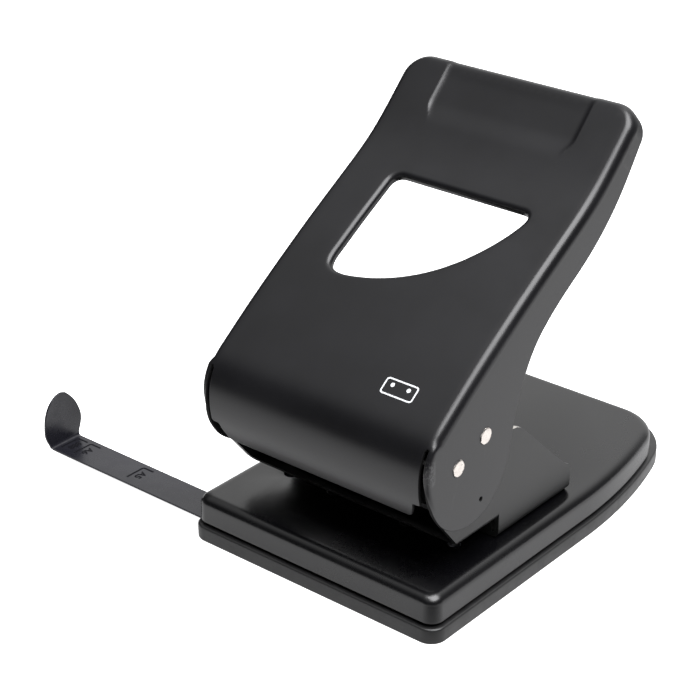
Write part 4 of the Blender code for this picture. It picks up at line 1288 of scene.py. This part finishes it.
def build_guide():
    end = -STRIP_LENGTH
    loop = [(end + 1.2, STRIP_Y0), (-40, STRIP_Y0), (-20, STRIP_Y0)]
    loop += FRONT_EDGE.spaced(26) + FLAG_TOP.spaced(8)[1:-1][::-1] + REAR_EDGE.spaced(26)[::-1]
    loop += [(-20, STRIP_Y1), (-40, STRIP_Y1), (end + 1.2, STRIP_Y1), (end, STRIP_Y1 - 1.2),
             (end, STRIP_Y0 + 1.2)]
    loop = np.array(loop)
    points = np.array([(along, y) for along in np.arange(-1.0, 26.0, 0.8)
                       for y in np.arange(-36.5, -17.5, 1.2)])
    points = points[inside(loop, points) & (distance_to(loop, points) > 0.4)]
    flat, faces = triangulate(counter_clockwise(loop), points=points)
    skin = Skin()
    # along runs towards -X, so the winding is turned to face up on the strip
    skin.add(guide_point(flat[:, 0], flat[:, 1]), faces, flip=True)
    finish(skin.solid("paper_guide_strip", STRIP_T, edge=0.18), GUIDE, "paper_guide",
           "guide_plastic", "paper_guide")


def corner_mark(tag, x):
    """Printed angle: a line across the strip with a rounded turn at its rear."""
    width = 0.85
    outline = [(x, -30.7), (x, -22.2)] + arc(x + 1.4, -22.2, 1.4, 180, 90, 6) + [(x + 6.0, -20.8)]
    outline += [(x + 6.0, -20.8 - width)] + arc(x + 1.4, -22.2, 1.4 - width, 90, 180, 6)
    outline.append((x + width, -30.7))
    mark = film("guide_mark_" + tag, [(np.array(outline)[::-1], ())],
                lambda flat: [(px, py, STRIP_TOP + 0.05) for px, py in flat], 0.05)
    finish(mark, PRINT_DARK, "paper_guide", "guide_plastic")


def lettering(name, text, x, y, size):
    """Generic paper-size mark, reading across the strip."""
    curve = bpy.data.curves.new(name, "FONT")
    curve.body, curve.size, curve.extrude = text, size * MM, 0.02 * MM
    curve.offset = 0.13 * MM
    curve.resolution_u = 4
    curve.align_x, curve.align_y = "CENTER", "CENTER"
    source = link(name + "_c", curve)
    mesh = evaluated_mesh(source)
    bpy.data.objects.remove(source, do_unlink=True)
    bm = bmesh.new()
    bm.from_mesh(mesh)
    bmesh.ops.remove_doubles(bm, verts=bm.verts, dist=1e-6)
    bmesh.ops.recalc_face_normals(bm, faces=bm.faces)
    bm.to_mesh(mesh)
    bm.free()
    mesh.transform(Matrix.Translation((x * MM, y * MM, (STRIP_TOP + 0.03) * MM))
                   @ Matrix.Rotation(math.radians(-90), 4, "Z"))
    finish(link(name, mesh), PRINT_DARK, "paper_guide", "guide_plastic")


build_guide()
for tag, text, x, size in (("a5", "A5", -102.4, 4.4), ("a6", "A6", -133.3, 4.4),
                           ("888", "888", -140.9, 4.0)):
    corner_mark(tag, x)
    lettering("guide_text_" + tag, text, x + 3.7, -26.4, size)

# ---------------------------------------------------------------------------
# CAD nodes that keep their own meshes
# ---------------------------------------------------------------------------

for name, material in (("spring_shield", FRAME_PAINT), ("die_plate", PLATE),
                       ("guide_rail", RAIL), ("guide_screw_left", ZINC),
                       ("guide_screw_right", ZINC)):
    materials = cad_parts[name].data.materials
    materials.clear()
    materials.append(material)

# ---------------------------------------------------------------------------
# stage, in metres: floor, light and camera
# ---------------------------------------------------------------------------


def floor_material():
    """Paper sweep: evenly bright to the camera, and to all else brightest
    round a place behind the object."""
    paper = Surface("pale_floor")
    camera_albedo, camera_glow, bounce_glow = 0.82, 0.95, 0.42
    seen = paper.new("ShaderNodeLightPath").outputs["Is Camera Ray"]
    near = paper.ramp(paper.distance((0.05, 0.30, 0.0)), low=0.37, high=0.84, start=1.0, end=0.05)
    # painted shade: a small dim patch on the floor off the front right corner, seen only in
    # reflections, stands in for the shade there
    near = paper.product(near, paper.ramp(paper.distance((0.086, -0.066, 0.0)),
                                          low=0.016, high=0.054, start=0.28, end=1.0))
    mottle = paper.ramp(paper.noise(scale=3, detail=2), low=0.3, high=0.7, start=0.40, end=0.46)
    shade = paper.lerp(seen, off=paper.product(mottle, near), on=camera_albedo)
    grey = paper.new("ShaderNodeCombineColor", Red=shade, Green=shade, Blue=shade)
    glow = paper.lerp(seen, off=paper.product(near, bounce_glow), on=camera_glow)
    return paper.out(Roughness=0.8, Specular_IOR_Level=0.0, Emission_Color=(1.0, 1.0, 1.0, 1.0),
                     Base_Color=grey.outputs[0], Emission_Strength=glow)


def build_floor(half):
    mesh = bpy.data.meshes.new("floor")
    mesh.from_pydata([(-half, -half, 0), (half, -half, 0), (half, half, 0), (-half, half, 0)],
                     [], [(0, 1, 2, 3)])
    floor = link("floor", mesh)
    floor.location.z = -0.00005
    mesh.materials.append(floor_material())


def build_world():
    """Studio: wall behind, brighter to the left; soft ceiling, dim room in front."""
    world = bpy.data.worlds.new("studio")
    world.use_nodes = True
    scene.world = world
    sky = Nodes(world.node_tree, "Generated")
    room, wall_light, ceiling = 0.07, 0.98, 0.74
    toward = sky.split(sky.place)
    wall = sky.product(sky.ramp(toward["Y"], low=0.36, high=0.62, start=0.0, end=wall_light),
                       sky.ramp(toward["X"], low=-0.25, high=0.60, start=1.0, end=0.08))
    above = sky.ramp(toward["Z"], low=0.45, high=0.95, start=room, end=room + ceiling)
    background = world.node_tree.nodes["Background"]
    sky.plug(background.inputs["Strength"], sky.math("ADD", wall, above))
    sky.plug(background.inputs["Color"], (1.0, 1.0, 1.0, 1.0))


def softbox(name, target, azimuth, elevation, distance, size, radiance, tint):
    """Area light on a sphere round the target; azimuth 0 stands in front."""
    azimuth, elevation = math.radians(azimuth), math.radians(elevation)
    target = Vector(target)
    at = target + distance * Vector((math.sin(azimuth) * math.cos(elevation),
                                     -math.cos(azimuth) * math.cos(elevation),
                                     math.sin(elevation)))
    light = bpy.data.lights.new(name, "AREA")
    light.shape, light.size, light.size_y = "RECTANGLE", size[0], size[1]
    light.energy, light.color = radiance * math.pi * size[0] * size[1], tint
    lamp = link(name, light)
    lamp.location = at
    lamp.rotation_euler = (target - at).to_track_quat("-Z", "Y").to_euler()


def build_camera(place, azimuth, elevation, focal_mm):
    """Camera in front and to the right, looking down by the elevation."""
    data = bpy.data.cameras.new("camera")
    data.sensor_width = 36.0
    data.lens = focal_mm
    data.clip_start, data.clip_end = 0.05, 20.0
    camera = link("camera", data)
    azimuth, elevation = math.radians(azimuth), math.radians(elevation)
    forward = Vector((-math.sin(azimuth) * math.cos(elevation),
                      math.cos(azimuth) * math.cos(elevation), -math.sin(elevation)))
    right = Vector((math.cos(azimuth), math.sin(azimuth), 0))
    up = right.cross(forward)
    turn = Matrix((right, up, -forward)).transposed()
    camera.matrix_world = Matrix.Translation(place) @ turn.to_4x4()
    scene.camera = camera


build_floor(half=6.0)
build_world()
softbox("overhead", target=(0.0, 0.05, 0.07), azimuth=78, elevation=71.0, distance=1.3,
        size=(1.05, 1.2), radiance=9.0, tint=(0.985, 0.98, 1.0))
build_camera(place=(0.409250, -0.504905, 0.410309), azimuth=39.7249, elevation=26.5341,
             focal_mm=101.619)

scene.view_settings.view_transform = "Standard"
scene.view_settings.look = "None"
scene.view_settings.exposure = 0.0
